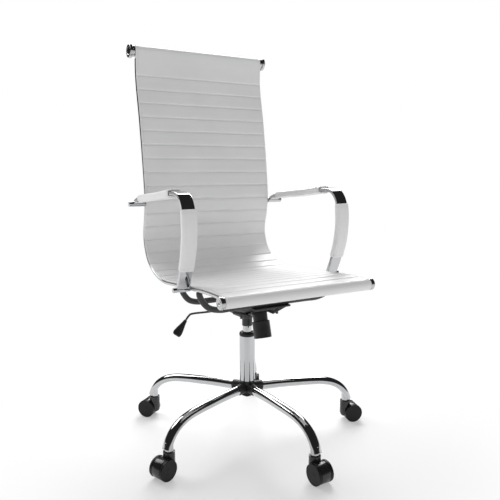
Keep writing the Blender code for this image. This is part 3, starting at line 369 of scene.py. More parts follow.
# Leather has a net of small grain cells over slow creases, with patches a little darker or duller.
def makeLeather(name, look):
    finish, nodes, links, shader, place = newFinish(name, look["light"], look["roughness"], Coat_Weight=0.06,
                                                    Coat_Roughness=0.3, Specular_IOR_Level=0.5)
    cells = nodes.new("ShaderNodeTexVoronoi")
    cells.feature = "DISTANCE_TO_EDGE"
    cells.inputs["Scale"].default_value = look["grain"]
    warp = noise(nodes, links, place, look["warp"], 2.0)
    shift = nodes.new("ShaderNodeVectorMath")
    shift.operation = "MULTIPLY_ADD"
    links.new(warp, shift.inputs[0])
    shift.inputs[1].default_value = (look["warpReach"],) * 3
    links.new(place, shift.inputs[2])
    links.new(shift.outputs["Vector"], cells.inputs["Vector"])
    grain = spread(nodes, links, cells.outputs["Distance"], 0.0, 1.0, 0.0, 0.22)
    patches = noise(nodes, links, place, look["patch"], 4.0)
    links.new(tint(nodes, links, patches, look["dark"], look["light"], 0.35, 0.6), shader.inputs["Base Color"])
    dull = noise(nodes, links, place, look["dull"], 3.0)
    links.new(spread(nodes, links, dull, look["roughness"] - 0.05, look["roughness"] + 0.07),
              shader.inputs["Roughness"])
    first = relief(nodes, links, grain, shader, 0.35, look["grainDepth"])
    creases = noise(nodes, links, place, look["crease"], 3.0)
    relief(nodes, links, creases, shader, 0.25, look["creaseDepth"], first)
    return finish


chromeLook = {"colour": (0.57, 0.575, 0.585), "worn": (0.535, 0.54, 0.55), "smooth": 0.03, "hazed": 0.08,
              "haze": 22.0, "patch": 6.0, "wave": 45.0, "waveDepth": 0.0006}


# Chrome is a near mirror with a thin haze in patches and a very slight wave.
def makeChrome(name, look):
    finish, nodes, links, shader, place = newFinish(name, look["colour"], look["smooth"], 1.0)
    haze = noise(nodes, links, place, look["haze"], 5.0)
    links.new(spread(nodes, links, haze, look["smooth"], look["hazed"], 0.45, 0.75), shader.inputs["Roughness"])
    links.new(tint(nodes, links, noise(nodes, links, place, look["patch"]), look["worn"], look["colour"]),
              shader.inputs["Base Color"])
    relief(nodes, links, noise(nodes, links, place, look["wave"], 1.0), shader, 0.03, look["waveDepth"])
    return finish


steelLook = {"colour": (0.60, 0.60, 0.61), "drawn": (0.52, 0.52, 0.53), "low": 0.22, "high": 0.38,
             "lines": 60.0}


# Plain steel has drawn lines that change its tone and its roughness together.
def makeSteel(name, look):
    finish, nodes, links, shader, place = newFinish(name, look["colour"], look["low"], 1.0)
    lines = noise(nodes, links, place, look["lines"], 4.0, (1.0, 14.0, 14.0))
    links.new(spread(nodes, links, lines, look["low"], look["high"]), shader.inputs["Roughness"])
    links.new(tint(nodes, links, lines, look["drawn"], look["colour"]), shader.inputs["Base Color"])
    relief(nodes, links, lines, shader, 0.08, 0.0003)
    return finish


blackSteelLook = {"colour": (0.034, 0.034, 0.036), "worn": (0.048, 0.048, 0.050), "low": 0.28, "high": 0.40,
                  "shine": 0.45, "grain": 420.0, "depth": 0.00012, "metallic": 0.1}
plasticLook = {"colour": (0.017, 0.017, 0.018), "worn": (0.025, 0.025, 0.026), "low": 0.36, "high": 0.48,
               "shine": 0.35, "grain": 900.0, "depth": 0.00010, "metallic": 0.0}
wheelLook = {"colour": (0.007, 0.007, 0.008), "worn": (0.012, 0.012, 0.013), "low": 0.38, "high": 0.50,
             "shine": 0.26, "grain": 1100.0, "depth": 0.00006, "metallic": 0.0}
hoodLook = {"colour": (0.010, 0.010, 0.011), "worn": (0.014, 0.014, 0.015), "low": 0.20, "high": 0.27,
            "shine": 0.60, "grain": 1100.0, "depth": 0.00003, "metallic": 0.0}


# Black paint or moulding has slow patches of tone and gloss over a fine grain.
def makeBlack(name, look):
    finish, nodes, links, shader, place = newFinish(name, look["colour"], look["low"], look["metallic"],
                                                    Specular_IOR_Level=look["shine"])
    patch = noise(nodes, links, place, 30.0, 5.0)
    links.new(tint(nodes, links, patch, look["colour"], look["worn"], 0.4, 0.75), shader.inputs["Base Color"])
    links.new(spread(nodes, links, patch, look["low"], look["high"]), shader.inputs["Roughness"])
    relief(nodes, links, noise(nodes, links, place, look["grain"], 2.0), shader, 0.3, look["depth"])
    return finish


# The thread's shade factor sets painted shade: the colour in the twist's valleys is the colour times it.
threadLook = {"colour": (0.78, 0.78, 0.78), "shade": 0.86, "roughness": 0.6, "twist": 2200.0, "depth": 0.0001}


# Thread has a tight twist, with painted shade making it darker in its valleys.
def makeThread(name, look):
    finish, nodes, links, shader, place = newFinish(name, look["colour"], look["roughness"])
    twist = noise(nodes, links, place, look["twist"], 1.0)
    # Painted shade: the low places of the twist noise, which also sets the relief, are tinted darker.
    dark = tuple(look["shade"] * v for v in look["colour"])
    links.new(tint(nodes, links, twist, dark, look["colour"]), shader.inputs["Base Color"])
    relief(nodes, links, twist, shader, 0.4, look["depth"])
    return finish


whiteLeather = makeLeather("whiteLeather", leatherLook)
padLeather = makeLeather("padLeather", padLeatherLook)
chrome = makeChrome("polishedChrome", chromeLook)
plainSteel = makeSteel("plainSteel", steelLook)
blackSteel = makeBlack("blackPaintedSteel", blackSteelLook)
blackPlastic = makeBlack("blackMouldedPlastic", plasticLook)
wheelPlastic = makeBlack("blackWheelNylon", wheelLook)
hoodPlastic = makeBlack("glossyHoodPlastic", hoodLook)
thread = makeThread("whiteThread", threadLook)
print("finishes made")


# Side views are given as (y, z): the sling runs from the top roll down the back and forward to the front roll.
slingLook = {
    "halfWidth": 0.2155, "half": 0.0020, "rollHalf": 0.0017,
    "topBar": (0.3088, 1.1296), "topRoll": 0.0175, "frontBar": (-0.2720, 0.4767), "frontRoll": 0.0155,
    "knots": [(0.2941, 1.0560), (0.2705, 0.9300), (0.2520, 0.8060), (0.2400, 0.6850), (0.2480, 0.6310),
              (0.2595, 0.5730), (0.2370, 0.5160), (0.1900, 0.4840), (0.1180, 0.4672), (0.0200, 0.4727),
              (-0.0900, 0.4820), (-0.1850, 0.4890)],
    "plainBand": 0.0721, "pitch": 0.0417, "plainEnd": 0.030,
    "puff": 0.0008, "puffWidth": 0.0075, "groove": 0.0025, "grooveWidth": 0.0023,
    "hem": 0.0068, "hemDip": 0.0005, "hemWidth": 0.0011, "waves": 0.00022, "endEase": 0.03, "hookTurn": 312,
    "pull": 0.0016, "hookRow": 0.0022, "row": 0.0042, "columns": 45,
    "seamRows": (-6, -4.8, -4, -3.4, -2.8, -2.4, -2.0, -1.6, -1.1, -0.6, -0.2, 0.2, 0.6, 1.0, 1.5, 2.2, 3.2,
                 4.6, 6.5),
    "hemColumns": (-2.4, -1.2, -0.6, 0, 0.6, 1.2, 2.4),  # these two in millimetres
}


# The sling's middle line is a smooth curve down the back and over the seat, with an arc round each bar.
def slingFrame(look):
    top = (look["topBar"][0] - look["topRoll"] + look["rollHalf"], look["topBar"][1])
    front = (look["frontBar"][0], look["frontBar"][1] + look["frontRoll"] - look["rollHalf"])
    line = evenLine([top, *look["knots"], front], 0.0010)
    hooks = []
    for middle, radius, start, turn in ((look["topBar"], look["topRoll"], 180, -look["hookTurn"]),
                                        (look["frontBar"], look["frontRoll"], 90, look["hookTurn"])):
        angle = np.radians(start + np.linspace(0, turn, 240)[1:])
        reach = radius - look["rollHalf"]
        hooks.append(np.column_stack([middle[0] + reach * np.cos(angle), middle[1] + reach * np.sin(angle)]))
    whole = np.vstack([hooks[0][::-1], line, hooks[1]])
    return whole, lengths(whole)[len(hooks[0])], lengths(line)[-1], line


# Seams follow the plain band at an even pitch, as many as fit before the plain end.
def seamCount(look, last):
    return int(np.ceil((last - look["plainEnd"] - look["plainBand"]) / look["pitch"]))


# The sling's face height over its middle is half its thickness + a puff between seams, puff (1 - exp -(s/w)^2),
# - a groove at each seam, a bell curve of the distance s to it, - a dip at the hems, + slow waves.
def slingFace(v, x, look, last):
    number = np.clip(np.round((v - look["plainBand"]) / look["pitch"]), 0, seamCount(look, last) - 1)
    s = v - look["plainBand"] - number * look["pitch"]
    begun = np.clip((v - look["plainBand"] + look["pitch"]) / look["pitch"], 0, 1)
    inside = begun * np.clip((last - v) / look["endEase"], 0, 1)
    edge = np.clip((look["halfWidth"] - abs(x)) / look["hem"], 0, 1)
    soft = edge * edge * (3 - 2 * edge)
    puff = look["puff"] * (1 - np.exp(-(s / look["puffWidth"]) ** 2)) * inside * (0.15 + 0.85 * soft)
    groove = look["groove"] * np.exp(-(s / look["grooveWidth"]) ** 2) * (0.35 + 0.65 * soft)
    hem = look["hemDip"] * np.exp(-((look["halfWidth"] - look["hem"] - abs(x)) / look["hemWidth"]) ** 2)
    slow = np.sin(23 * x + 9 * v) * np.sin(37 * v - 1.3)
    quick = 0.6 * np.sin(61 * x + 17 * v + 2.0) * np.exp(-(s / 0.012) ** 2)
    waves = look["waves"] * inside * soft * (slow + quick)
    return puff - groove - hem + waves, 0.25 * (puff - groove) - 0.5 * hem, s


# The sling is its middle line moved out by half its thickness and its face height, with half round edges.
def makeSling(look):
    whole, hookLength, last, _ = slingFrame(look)
    total = lengths(whole)[-1]
    seams = hookLength + look["plainBand"] + look["pitch"] * np.arange(seamCount(look, last))
    near = np.array(look["seamRows"]) / 1000
    rows = np.concatenate([np.arange(0, hookLength, look["hookRow"]),
                           np.arange(hookLength, hookLength + last, look["row"]),
                           np.arange(hookLength + last, total, look["hookRow"]),
                           (seams[:, None] + near).ravel(), [total]])
    rows = np.unique(np.round(rows, 5))
    rows = rows[np.concatenate([[True], np.diff(rows) > 0.00025])]
    along = lengths(whole)
    centre = readLine(whole, rows)
    side = flatNormals(whole)
    side = np.column_stack([np.interp(rows, along, side[:, k]) for k in (0, 1)])
    side /= np.linalg.norm(side, axis=1)[:, None]
    v = rows - hookLength
    half = look["rollHalf"] + (look["half"] - look["rollHalf"]) * np.clip(np.minimum(v, last - v) / 0.02, 0, 1)
    edgeX = look["halfWidth"] - look["half"]
    hems = [sign * (look["halfWidth"] - look["hem"] + np.array(look["hemColumns"]) / 1000) for sign in (-1, 1)]
    xs = np.unique(np.round(np.concatenate([np.linspace(-edgeX, edgeX, look["columns"]), *hems]), 5))
    bend = np.radians(np.linspace(90, -90, 9))[1:-1]
    x = np.concatenate([xs, edgeX + look["half"] * np.cos(bend), xs[::-1],
                        -edgeX - look["half"] * np.cos(bend)])
    lift = np.concatenate([np.ones(len(xs)), np.sin(bend), -np.ones(len(xs)), -np.sin(bend)])
    face, rear, s = slingFace(v[:, None], x[None, :], look, last)
    offset = lift * half[:, None] + face * np.clip(lift, 0, 1) - rear * np.clip(-lift, 0, 1)
    pull = 1 - look["pull"] * np.exp(-(s / 0.004) ** 2) * ((v > 0) & (v < last))[:, None]
    grid = np.stack([x[None, :] * pull, centre[:, :1] - side[:, :1] * offset,
                     centre[:, 1:] - side[:, 1:] * offset], -1)
    return makePiece("ribbed_sling", [skin(grid, ends=("cap", "cap"))], [whiteLeather], ["sling"]), total


# A stitch is a short capsule: a ring carried along x, its size the square root of 1 - (x / half length)^4.
def stitchShape(length, radius):
    x = np.array([-1, -0.86, -0.3, 0.3, 0.86, 1]) * length / 2
    size = np.sqrt(np.clip(1 - (2 * x / length) ** 4, 0, 1))[:, None]
    angle = 2 * np.pi * np.arange(5) / 5
    grid = np.stack([np.repeat(x[:, None], 5, axis=1), radius * size * np.cos(angle),
                     radius * size * np.sin(angle)], -1)
    return skin(grid, ends=("pole", "pole"))


stitchLook = {"pitch": 0.0040, "length": 0.0030, "radius": 0.00036, "proud": 0.00005, "sleeveLength": 0.0026}


# Stitches stand along both hems, on the two faces, and across each seam on the front face.
def makeSlingStitches(look, stitch):
    whole, hookLength, last, _ = slingFrame(look)
    along, side = lengths(whole), flatNormals(whole)
    count = seamCount(look, last)
    rise = np.arange(0.004, last - 0.004, stitch["pitch"])
    hemX = look["halfWidth"] - look["hem"]
    cross = np.arange(-hemX + 0.004, hemX - 0.002, stitch["pitch"])
    seam = look["plainBand"] + look["pitch"] * np.arange(count)
    sets = [(np.tile(rise, 2), np.repeat([-hemX, hemX], len(rise)), 1.0, True),
            (np.tile(rise, 2), np.repeat([-hemX, hemX], len(rise)), -1.0, True),
            (np.repeat(seam, len(cross)), np.tile(cross, count), 1.0, False)]
    shells = []
    for v, x, way, upright in sets:
        centre = readLine(whole, v + hookLength)
        normal = -np.column_stack([np.interp(v + hookLength, along, side[:, k]) for k in (0, 1)])
        face, rear, _ = slingFace(v, x, look, last)
        height = look["half"] + (face if way > 0 else rear) + stitch["proud"]
        out = np.column_stack([np.zeros(len(v)), normal * way])
        origin = np.column_stack([x, centre + normal * (way * height)[:, None]])
        tangent = np.column_stack([np.zeros(len(v)), -normal[:, 1] * way, normal[:, 0] * way])
        flat = np.tile([1.0, 0, 0], (len(v), 1))
        a, b = (tangent, np.cross(out, tangent)) if upright else (flat, np.cross(out, flat))
        shells.append(copies(stitchShape(stitch["length"], stitch["radius"]), origin, a, b, out))
    return makePiece("sling_stitches", shells, [thread], [], "seat")


sling, slingLength = makeSling(slingLook)
slingStitches = makeSlingStitches(slingLook, stitchLook)
print("sling made, cut length", round(slingLength, 3))


railLook = {"thick": 0.0080, "wide": 0.0120, "corner": 0.0020, "gap": 0.0012, "x": 0.2098,
            "topGap": 0.0012, "frontGap": 0.0010}


# A rail's middle line is the sling's, moved out to lie behind it, and cut short of the two rolls.
def railLine(look, slingSet):
    line = slingFrame(slingSet)[3][::4]
    side = flatNormals(line)
    middle = line + side * (slingSet["half"] + look["gap"] + look["thick"] / 2)
    keep = (middle[:, 1] < slingSet["topBar"][1] - slingSet["topRoll"] - look["topGap"])
    keep &= middle[:, 0] > slingSet["frontBar"][0] + slingSet["frontRoll"] + look["frontGap"]
    return middle[keep]


rail = railLine(railLook, slingLook)
for sideName, sign in (("left", 1), ("right", -1)):
    outline = boxOutline(railLook["wide"], railLook["thick"], railLook["corner"], 4)
    makePiece("chrome_rail_" + sideName, [bar(sidePath(rail, sign * railLook["x"]), outline)], [chrome],
              ["side_rail_" + sideName])

capLook = {"start": 0.2158, "neck": 0.0168, "disc": 0.0213, "topEnd": 0.2330, "frontEnd": 0.2272, "rim": 0.0160,
           "plugWall": 0.0060, "topPlug": 0.020, "frontPlug": 0.018}


# Each cap is turned: a plug inside the roll, then a flange with rounded edges, and at the front a small dimple.
def makeCaps(look, slingSet):
    s, e = look["start"], look["topEnd"]
    plug = slingSet["topRoll"] - look["plugWall"]
    top = [(0, s - look["topPlug"]), (plug, s - look["topPlug"]), (plug, s), (look["neck"], s),
           (look["neck"], s + 0.0082), (look["disc"], s + 0.0082), (look["disc"], e - 0.0012),
           (look["disc"] - 0.0020, e), (0.0120, e), (0.0112, e - 0.0004), (0, e - 0.0004)]
    e = look["frontEnd"]
    plug = slingSet["frontRoll"] - look["plugWall"]
    front = [(0, s - look["frontPlug"]), (plug, s - look["frontPlug"]), (plug, s), (look["rim"] - 0.0014, s),
             (look["rim"] - 0.0014, s + 0.0030), (look["rim"], s + 0.0038), (look["rim"], e - 0.0018),
             (look["rim"] - 0.0018, e), (0.0106, e), (0.0102, e - 0.0010), (0.0088, e - 0.0010), (0.0084, e),
             (0.0046, e), (0.0030, e - 0.0022), (0, e - 0.0022)]
    for sideName, sign in (("left", 1), ("right", -1)):
        makePiece("top_plug_" + sideName,
                  [turned(eased(top, 0.0009, False), alongX(0, *slingSet["topBar"], sign), 72)], [chrome],
                  ["top_end_cap_" + sideName])
        makePiece("front_plug_" + sideName,
                  [turned(eased(front, 0.0006, False), alongX(0, *slingSet["frontBar"], sign), 72)], [chrome],
                  ["front_end_cap_" + sideName])


makeCaps(capLook, slingLook)
print("rails and end plugs made")


armLook = {
    "x": 0.2365, "wide": 0.0350, "thick": 0.0100, "corner": 0.0021,
    "knots": [(-0.0865, 0.4800), (-0.1050, 0.5200), (-0.1250, 0.5800), (-0.1310, 0.6430), (-0.1225, 0.6900),
              (-0.1010, 0.7140), (-0.0700, 0.7195), (0.0600, 0.7068), (0.1900, 0.6945), (0.2200, 0.6880),
              (0.2430, 0.6775)],
    "rodStart": 0.2161, "rods": [((0.2420, 0.6760), 0.0080, 0.2670), ((-0.0830, 0.4750), 0.0068, 0.2630)],
}


# An arm is a flat bar carried along its loop, with a turned rod from each of its ends towards the seat.
def makeArm(look, sideName, sign):
    line = evenLine(look["knots"], 0.0035)
    outline = boxOutline(look["wide"], look["thick"], look["corner"], 5)
    shells = [bar(sidePath(line, sign * look["x"]), outline, 0.0010)]
    for spot, radius, end in look["rods"]:
        profile = [(0, look["rodStart"]), (radius, look["rodStart"]), (radius, end - 0.0010),
                   (radius - 0.0010, end), (0, end)]
        shells.append(turned(eased(profile, 0.0006, False), alongX(0, *spot, sign), 48))
    makePiece("chrome_arm_" + sideName, shells, [chrome], ["arm_" + sideName])
    return line


padLook = {"wide": 0.0398, "thick": 0.0223, "power": 3.6, "boreWide": 0.0362, "boreThick": 0.0112,
           "lip": 0.0016, "hem": 0.0060, "hemDip": 0.0006, "seamDip": 0.0006, "crown": 0.012, "waves": 0.00020,
           "top": (-0.0430, 0.1960), "front": (0.5290, 0.6810)}


# A sleeve goes out along a superellipse round the arm and back along a box bore. Its size swells by
# 1 + crown sin(pi t), dips at the two hems as bell curves, and has a sewn groove along its inner face.
def sleeve(line, x, look):
    place = np.linspace(0, 1, max(24, int(lengths(line)[-1] / 0.0030)))
    total = lengths(line)[-1] - 2 * look["lip"]
    along = place * total
    path = sidePath(readLine(line, along + look["lip"]), x)
    count = 72
    outer = ovalOutline(look["wide"], look["thick"], count, look["power"])[0]
    inner = ovalOutline(look["boreWide"], look["boreThick"], count, 9.0)[0]
    toEnd = np.minimum(along, total - along)
    size = 1 + look["crown"] * (np.sin(np.pi * place) - 1) - 0.02 * np.exp(-(toEnd / 0.0025) ** 2)
    angle = 2 * np.pi * np.arange(count) / count
    dip = look["hemDip"] * np.exp(-((toEnd - look["hem"]) / 0.0010) ** 2)[:, None]
    dip = dip + look["seamDip"] * np.exp(-((angle - 1.5 * np.pi) / 0.10) ** 2)[None, :]
    slow = np.sin(90 * along)[:, None] * np.sin(2 * angle + 1)[None, :]
    quick = np.sin(210 * along + 1)[:, None] * np.cos(3 * angle)[None, :]
    dip = dip + look["waves"] * (slow + quick)
    reach = np.linalg.norm(outer, axis=1)
    skinOut = outer[None] * (size[:, None] - dip / reach)[:, :, None]
    rows = [carry(path, skinOut)]
    lips = np.linspace(0, np.pi, 9)[1:-1]
    for end in (-1, 0):
        way = path[0][end] - path[0][-2 if end else 1]
        way /= np.linalg.norm(way)
        ring = skinOut[end][None] + (inner - skinOut[end])[None] * (1 - np.cos(lips))[:, None, None] / 2
        centre = path[0][end] + way * look["lip"] * np.sin(lips)[:, None]
        across, up = [np.tile(path[k][end], (len(lips), 1)) for k in (1, 2)]
        made = carry((centre, across, up), ring)
        rows.append(made if end else made[::-1])
    back = carry(path, inner)[::-1]
    grid = np.concatenate([rows[0], rows[1], back, rows[2]])
    return skin(grid, loopRows=True)


# Sleeve stitches go round the sleeve's superellipse inside each hem: w/2 cos^p across and t/2 sin^p up.
def sleeveStitches(line, x, look, stitch):
    total = lengths(line)[-1]
    angle = np.radians(np.arange(0, 360, 11.0))
    shells = []
    for spot in (look["hem"] + look["lip"] + 0.0014, total - look["hem"] - look["lip"] - 0.0014):
        path = [np.repeat(v, len(angle), axis=0) for v in sidePath(readLine(line, [spot, spot + 0.001]), x)]
        centre, across, up = [v[:len(angle)] for v in path]
        c, s = np.cos(angle), np.sin(angle)
        power = 2 / look["power"]
        px = look["wide"] / 2 * np.sign(c) * abs(c) ** power
        py = look["thick"] / 2 * np.sign(s) * abs(s) ** power
        slopeX = abs(px / look["wide"] * 2) ** (look["power"] - 1) / look["wide"]
        slopeY = abs(py / look["thick"] * 2) ** (look["power"] - 1) / look["thick"]
        out = across * np.sign(c)[:, None] * slopeX[:, None]
        out = out + up * np.sign(s)[:, None] * slopeY[:, None]
        out /= np.linalg.norm(out, axis=1)[:, None]
        run = np.cross(across, up)
        turnWay = np.cross(run, out)
        origin = centre + across * (px * 0.993)[:, None] + up * (py * 0.993)[:, None]
        shells.append(copies(stitchShape(stitch["sleeveLength"], stitch["radius"]), origin, turnWay, run, out))
    return shells


for sideName, sign in (("left", 1), ("right", -1)):
    armLine = makeArm(armLook, sideName, sign)
    highest = int(np.argmax(armLine[:, 1]))
    along = lengths(armLine)
    rising = np.interp(padLook["front"], armLine[:highest + 1, 1], along[:highest + 1])
    level = np.interp(padLook["top"], armLine[highest:, 0], along[highest:])
    for kind, (start, end) in (("front", rising), ("top", level)):
        part = readLine(armLine, np.linspace(start, end, 90))
        pad = makePiece("arm_" + kind + "_sleeve_" + sideName, [sleeve(part, sign * armLook["x"], padLook)],
                        [padLeather], ["arm_" + kind + "_pad_" + sideName])
        makePiece("arm_" + kind + "_stitches_" + sideName,
                  sleeveStitches(part, sign * armLook["x"], padLook, stitchLook), [thread], [],
                  "seat")
print("arms and sleeves made")


underLook = {
    "tubeRadius": 0.0080, "runZ": 0.4210, "frontY": -0.1280, "rearY": -0.0170, "frontShoulder": 0.056,
    "rearShoulder": 0.046, "plateTop": 0.4127, "plateThick": 0.0030, "plateHalf": 0.0580, "plateFront": -0.1460,
    "plateRear": 0.0120, "pivot": (-0.0350, 0.3950), "pin": 0.0050,
}


# A cross tube hangs from the two rails: down at the sides, round a shoulder, then straight across.
def makeCrossTube(look, y, shoulder, node):
    seat = rail[rail[:, 1] < 0.49]
    order = np.argsort(seat[:, 0])
    top = float(np.interp(y, seat[order, 0], seat[order, 1])) - railLook["thick"] / 2 - 0.0013
    drop, end = top - look["runZ"], railLook["x"]
    left = [(-end, top), (-end, top - 0.12 * drop), (-end + 0.12 * shoulder, top - 0.42 * drop),
            (-end + 0.45 * shoulder, top - 0.82 * drop), (-end + shoulder, look["runZ"]),
            (-end + 1.7 * shoulder, look["runZ"])]
    line = evenLine(left + [(-x, z) for x, z in reversed(left)], 0.0030)
    size = 2 * look["tubeRadius"]
    makePiece("under_" + node, [bar(frontPath(line, y), ovalOutline(size, size, 32), 0.0006)], [blackSteel],
              [node])


makeCrossTube(underLook, underLook["frontY"], underLook["frontShoulder"], "front_cross_tube")
makeCrossTube(underLook, underLook["rearY"], underLook["rearShoulder"], "rear_cross_tube")
flatWay = Matrix(((0, 1, 0, 0), (0, 0, 1, 0), (1, 0, 0, 0), (0, 0, 0, 1)))  # a slab laid flat, its x upwards


# Points on a circle from one angle to another: y + r cos, z + r sin.
def circlePoints(y, z, radius, start, end, count):
    angle = np.radians(np.linspace(start, end, count))
    return list(zip(y + radius * np.cos(angle), z + radius * np.sin(angle)))


# The plate is a flat slab with a waist, two ears down to the tilt pin, and a hex nut under each front corner.
def makeSeatPlate(look):
    z1, w = look["plateTop"], look["plateHalf"]
    z0 = z1 - look["plateThick"]
    outline = [(-w, look["plateFront"] + 0.006), (-w + 0.006, look["plateFront"]),
               (w - 0.006, look["plateFront"]), (w, look["plateFront"] + 0.006), (w, -0.105), (0.044, -0.085),
               (0.044, -0.050), (w, -0.030), (w, look["plateRear"] - 0.006), (w - 0.006, look["plateRear"]),
               (-w + 0.006, look["plateRear"]), (-w, look["plateRear"] - 0.006), (-w, -0.030), (-0.044, -0.050),
               (-0.044, -0.085), (-w, -0.105)]
    shells = [slab(outline, z0, z1, 0.0005, flatWay)]
    y, z = look["pivot"]
    ear = [(y - 0.013, z0 + 0.0006)] + circlePoints(y, z, 0.0105, 180, 360, 13) + [(y + 0.013, z0 + 0.0006)]
    for low in (0.0365, -0.0395):
        shells.append(slab(ear, low, low + 0.0030, 0.0004))
    for x in (-0.040, 0.040):
        nut = [(0, z0 - 0.0050), (0.0052, z0 - 0.0050), (0.0065, z0 - 0.0038), (0.0065, z0 + 0.0004),
               (0, z0 + 0.0004)]
        shells.append(turned(eased(nut, 0.0003, False), Matrix.Translation((x, look["frontY"], 0)), 6))
    makePiece("under_seat_plate", shells, [blackSteel], ["seat_plate"], sharp=35)
    pin = [(0, -0.0440), (0.0075, -0.0440), (0.0075, -0.0400), (look["pin"], -0.0400), (look["pin"], 0.0400),
           (0.0075, 0.0400), (0.0075, 0.0440), (0, 0.0440)]
    makePiece("under_tilt_pin", [turned(eased(pin, 0.0007, False), alongX(0, y, z), 40)], [plainSteel],
              ["tilt_pivot_pin"])


makeSeatPlate(underLook)
springLook = {"turns": 5, "mean": 0.0088, "wire": 0.0016, "pitch": 0.0038, "start": -0.0270}


# The spring's middle line is a helix round the tilt pin: x grows with the angle, y and z go round.
def makeSpring(look, pivot):
    angle = np.linspace(0, 2 * np.pi * look["turns"], 40 * look["turns"] + 1)
    outward = np.column_stack([np.zeros(len(angle)), np.cos(angle), np.sin(angle)])
    centre = np.array([0, *pivot]) + outward * look["mean"]
    centre[:, 0] = look["start"] + look["pitch"] * angle / (2 * np.pi)
    way = np.gradient(centre, axis=0)
    way /= np.linalg.norm(way, axis=1)[:, None]
    wire = ovalOutline(2 * look["wire"], 2 * look["wire"], 14)
    makePiece("under_tilt_spring", [bar((centre, outward, np.cross(way, outward)), wire, 0.0003)], [plainSteel],
              ["tilt_spring"])


makeSpring(springLook, underLook["pivot"])
housingLook = {"half": 0.0355, "wall": 0.0025, "boss": 0.0150, "bossBottom": 0.3290, "wingEnd": 0.0920,
               "wingPlace": (-0.0660, 0.3783), "wingRun": (-0.0055, 0.0180), "wingWide": (0.0440, -0.0230),
               "wingThick": 0.0036}


# The housing is two side plates, the strip between them, a ribbed wing at each side and a turned boss.
def makeHousing(look):
    w, t = look["half"], look["wall"]
    sideOutline = [(-0.1000, 0.4085), (-0.1000, 0.3938), (-0.0485, 0.3790), (-0.0420, 0.3700),
                   (-0.0300, 0.3625), (0.0200, 0.3605), (0.0300, 0.3660), (0.0300, 0.3925), (-0.0360, 0.4085)]
    strip = sideOutline[:8] + [(0.0300 - t, 0.3925), (0.0300 - t, 0.3682), (0.0190, 0.3631), (-0.0290, 0.3650),
                               (-0.0405, 0.3723), (-0.0470, 0.3814), (-0.1000 + t, 0.3962),
                               (-0.1000 + t, 0.4085)]
    shells = [slab(sideOutline, -w, -w + t, 0.0007), slab(sideOutline, w - t, w, 0.0007),
              slab(strip, -w + 0.0012, w - 0.0012, 0.0004)]
    for sign in (-1, 1):
        x = np.linspace(w - 0.0015, look["wingEnd"], 24)
        share = (x - x[0]) / (x[-1] - x[0])
        y, z = [look["wingPlace"][k] + look["wingRun"][k] * share for k in (0, 1)]
        wing = np.column_stack([sign * x, y, z])
        wide = look["wingWide"][0] + look["wingWide"][1] * share
        outline = boxOutline(wide, look["wingThick"] + 0 * share, 0.0012 + 0 * share, 4)
        shells.append(bar(levelPath(wing), outline, 0.0010))
        rib, share = wing[2:-3] - np.array([0, 0, 0.0026]), share[2:-3]
        outline = boxOutline(0.0040 + 0 * share, 0.0050 - 0.0026 * share, 0.0008 + 0 * share, 3)
        shells.append(bar(levelPath(rib), outline, 0.0006))
        stop = [(0, 0.3715), (0.0036, 0.3715), (0.0036, 0.3840), (0, 0.3840)]
        shells.append(turned(eased(stop, 0.0008, False), Matrix.Translation((sign * 0.0580, -0.0700, 0)), 24))
    r, low = look["boss"], look["bossBottom"]
    boss = [(0.0136, low), (r, low), (r, 0.3500), (r + 0.0060, 0.3615), (r + 0.0060, 0.3640), (0.0136, 0.3640)]
    shells.append(turned(eased(boss, 0.0010), None, 64, closed=True))
    makePiece("under_housing", shells, [blackSteel], ["mechanism_housing"], sharp=38)


makeHousing(housingLook)
knobLook = {"top": (-0.0700, 0.38434), "tilt": 16.0, "length": 0.0730, "neck": 0.0260, "radius": 0.0245,
            "neckRadius": 0.0205, "flutes": 30, "fluteDepth": 0.00022}
knobPlace = Matrix.Translation((0, *knobLook["top"])) @ Matrix.Rotation(-math.radians(knobLook["tilt"]), 4, "X")


# The grip's shallow flutes make its radius less by depth (1 + cos(flutes * angle)) / 2 between its ends.
def makeKnob(look):
    low, neck, r, n = -look["length"], -look["neck"], look["radius"], look["neckRadius"]
    profile = [(0, low + 0.0008), (r * 0.55, low + 0.0008), (r * 0.60, low), (r, low), (r, low + 0.0060),
               (r, neck - 0.0060), (r, neck), (n, neck), (n, 0), (0.0056, 0), (0.0056, -0.0560), (0, -0.0560)]

    def flutes(grid):
        angle = np.arctan2(grid[..., 1], grid[..., 0])
        z = grid[..., 2]
        above, below = np.clip((z - low - 0.004) / 0.003, 0, 1), np.clip((neck - 0.004 - z) / 0.003, 0, 1)
        on = (np.hypot(grid[..., 0], grid[..., 1]) > r * 0.98) * above * below
        size = 1 - look["fluteDepth"] / r * on * (1 + np.cos(look["flutes"] * angle)) / 2
        return grid * np.stack([size, size, np.ones_like(size)], -1)

    line = eased(profile, 0.0022, False, 6)
    fine = readLine(line, np.unique(np.concatenate([lengths(line), np.linspace(0, lengths(line)[-1], 90)])))
    makePiece("tension_hand_knob", [turned(fine, knobPlace, 180, shape=flutes)], [blackPlastic],
              ["tension_knob"])
    bolt = [(0, -0.0480), (0.0050, -0.0480), (0.0050, 0.0085), (0.0105, 0.0085), (0.0105, 0.0125), (0, 0.0125)]
    makePiece("tension_spring_bolt", [turned(eased(bolt, 0.0006, False), knobPlace, 40)], [plainSteel],
              ["tension_bolt"])


makeKnob(knobLook)
leverLook = {"z": 0.3830, "radius": 0.0028, "start": (-0.1935, 0.0, 0.3688), "way": (-0.0205, 0.0, -0.0265),
             "shape": [(0.000, 0.0044, 0.0044), (0.006, 0.0052, 0.0048), (0.014, 0.0070, 0.0052),
                       (0.024, 0.0096, 0.0052), (0.034, 0.0118, 0.0048), (0.041, 0.0124, 0.0044),
                       (0.046, 0.0112, 0.0038), (0.0485, 0.0080, 0.0026)]}


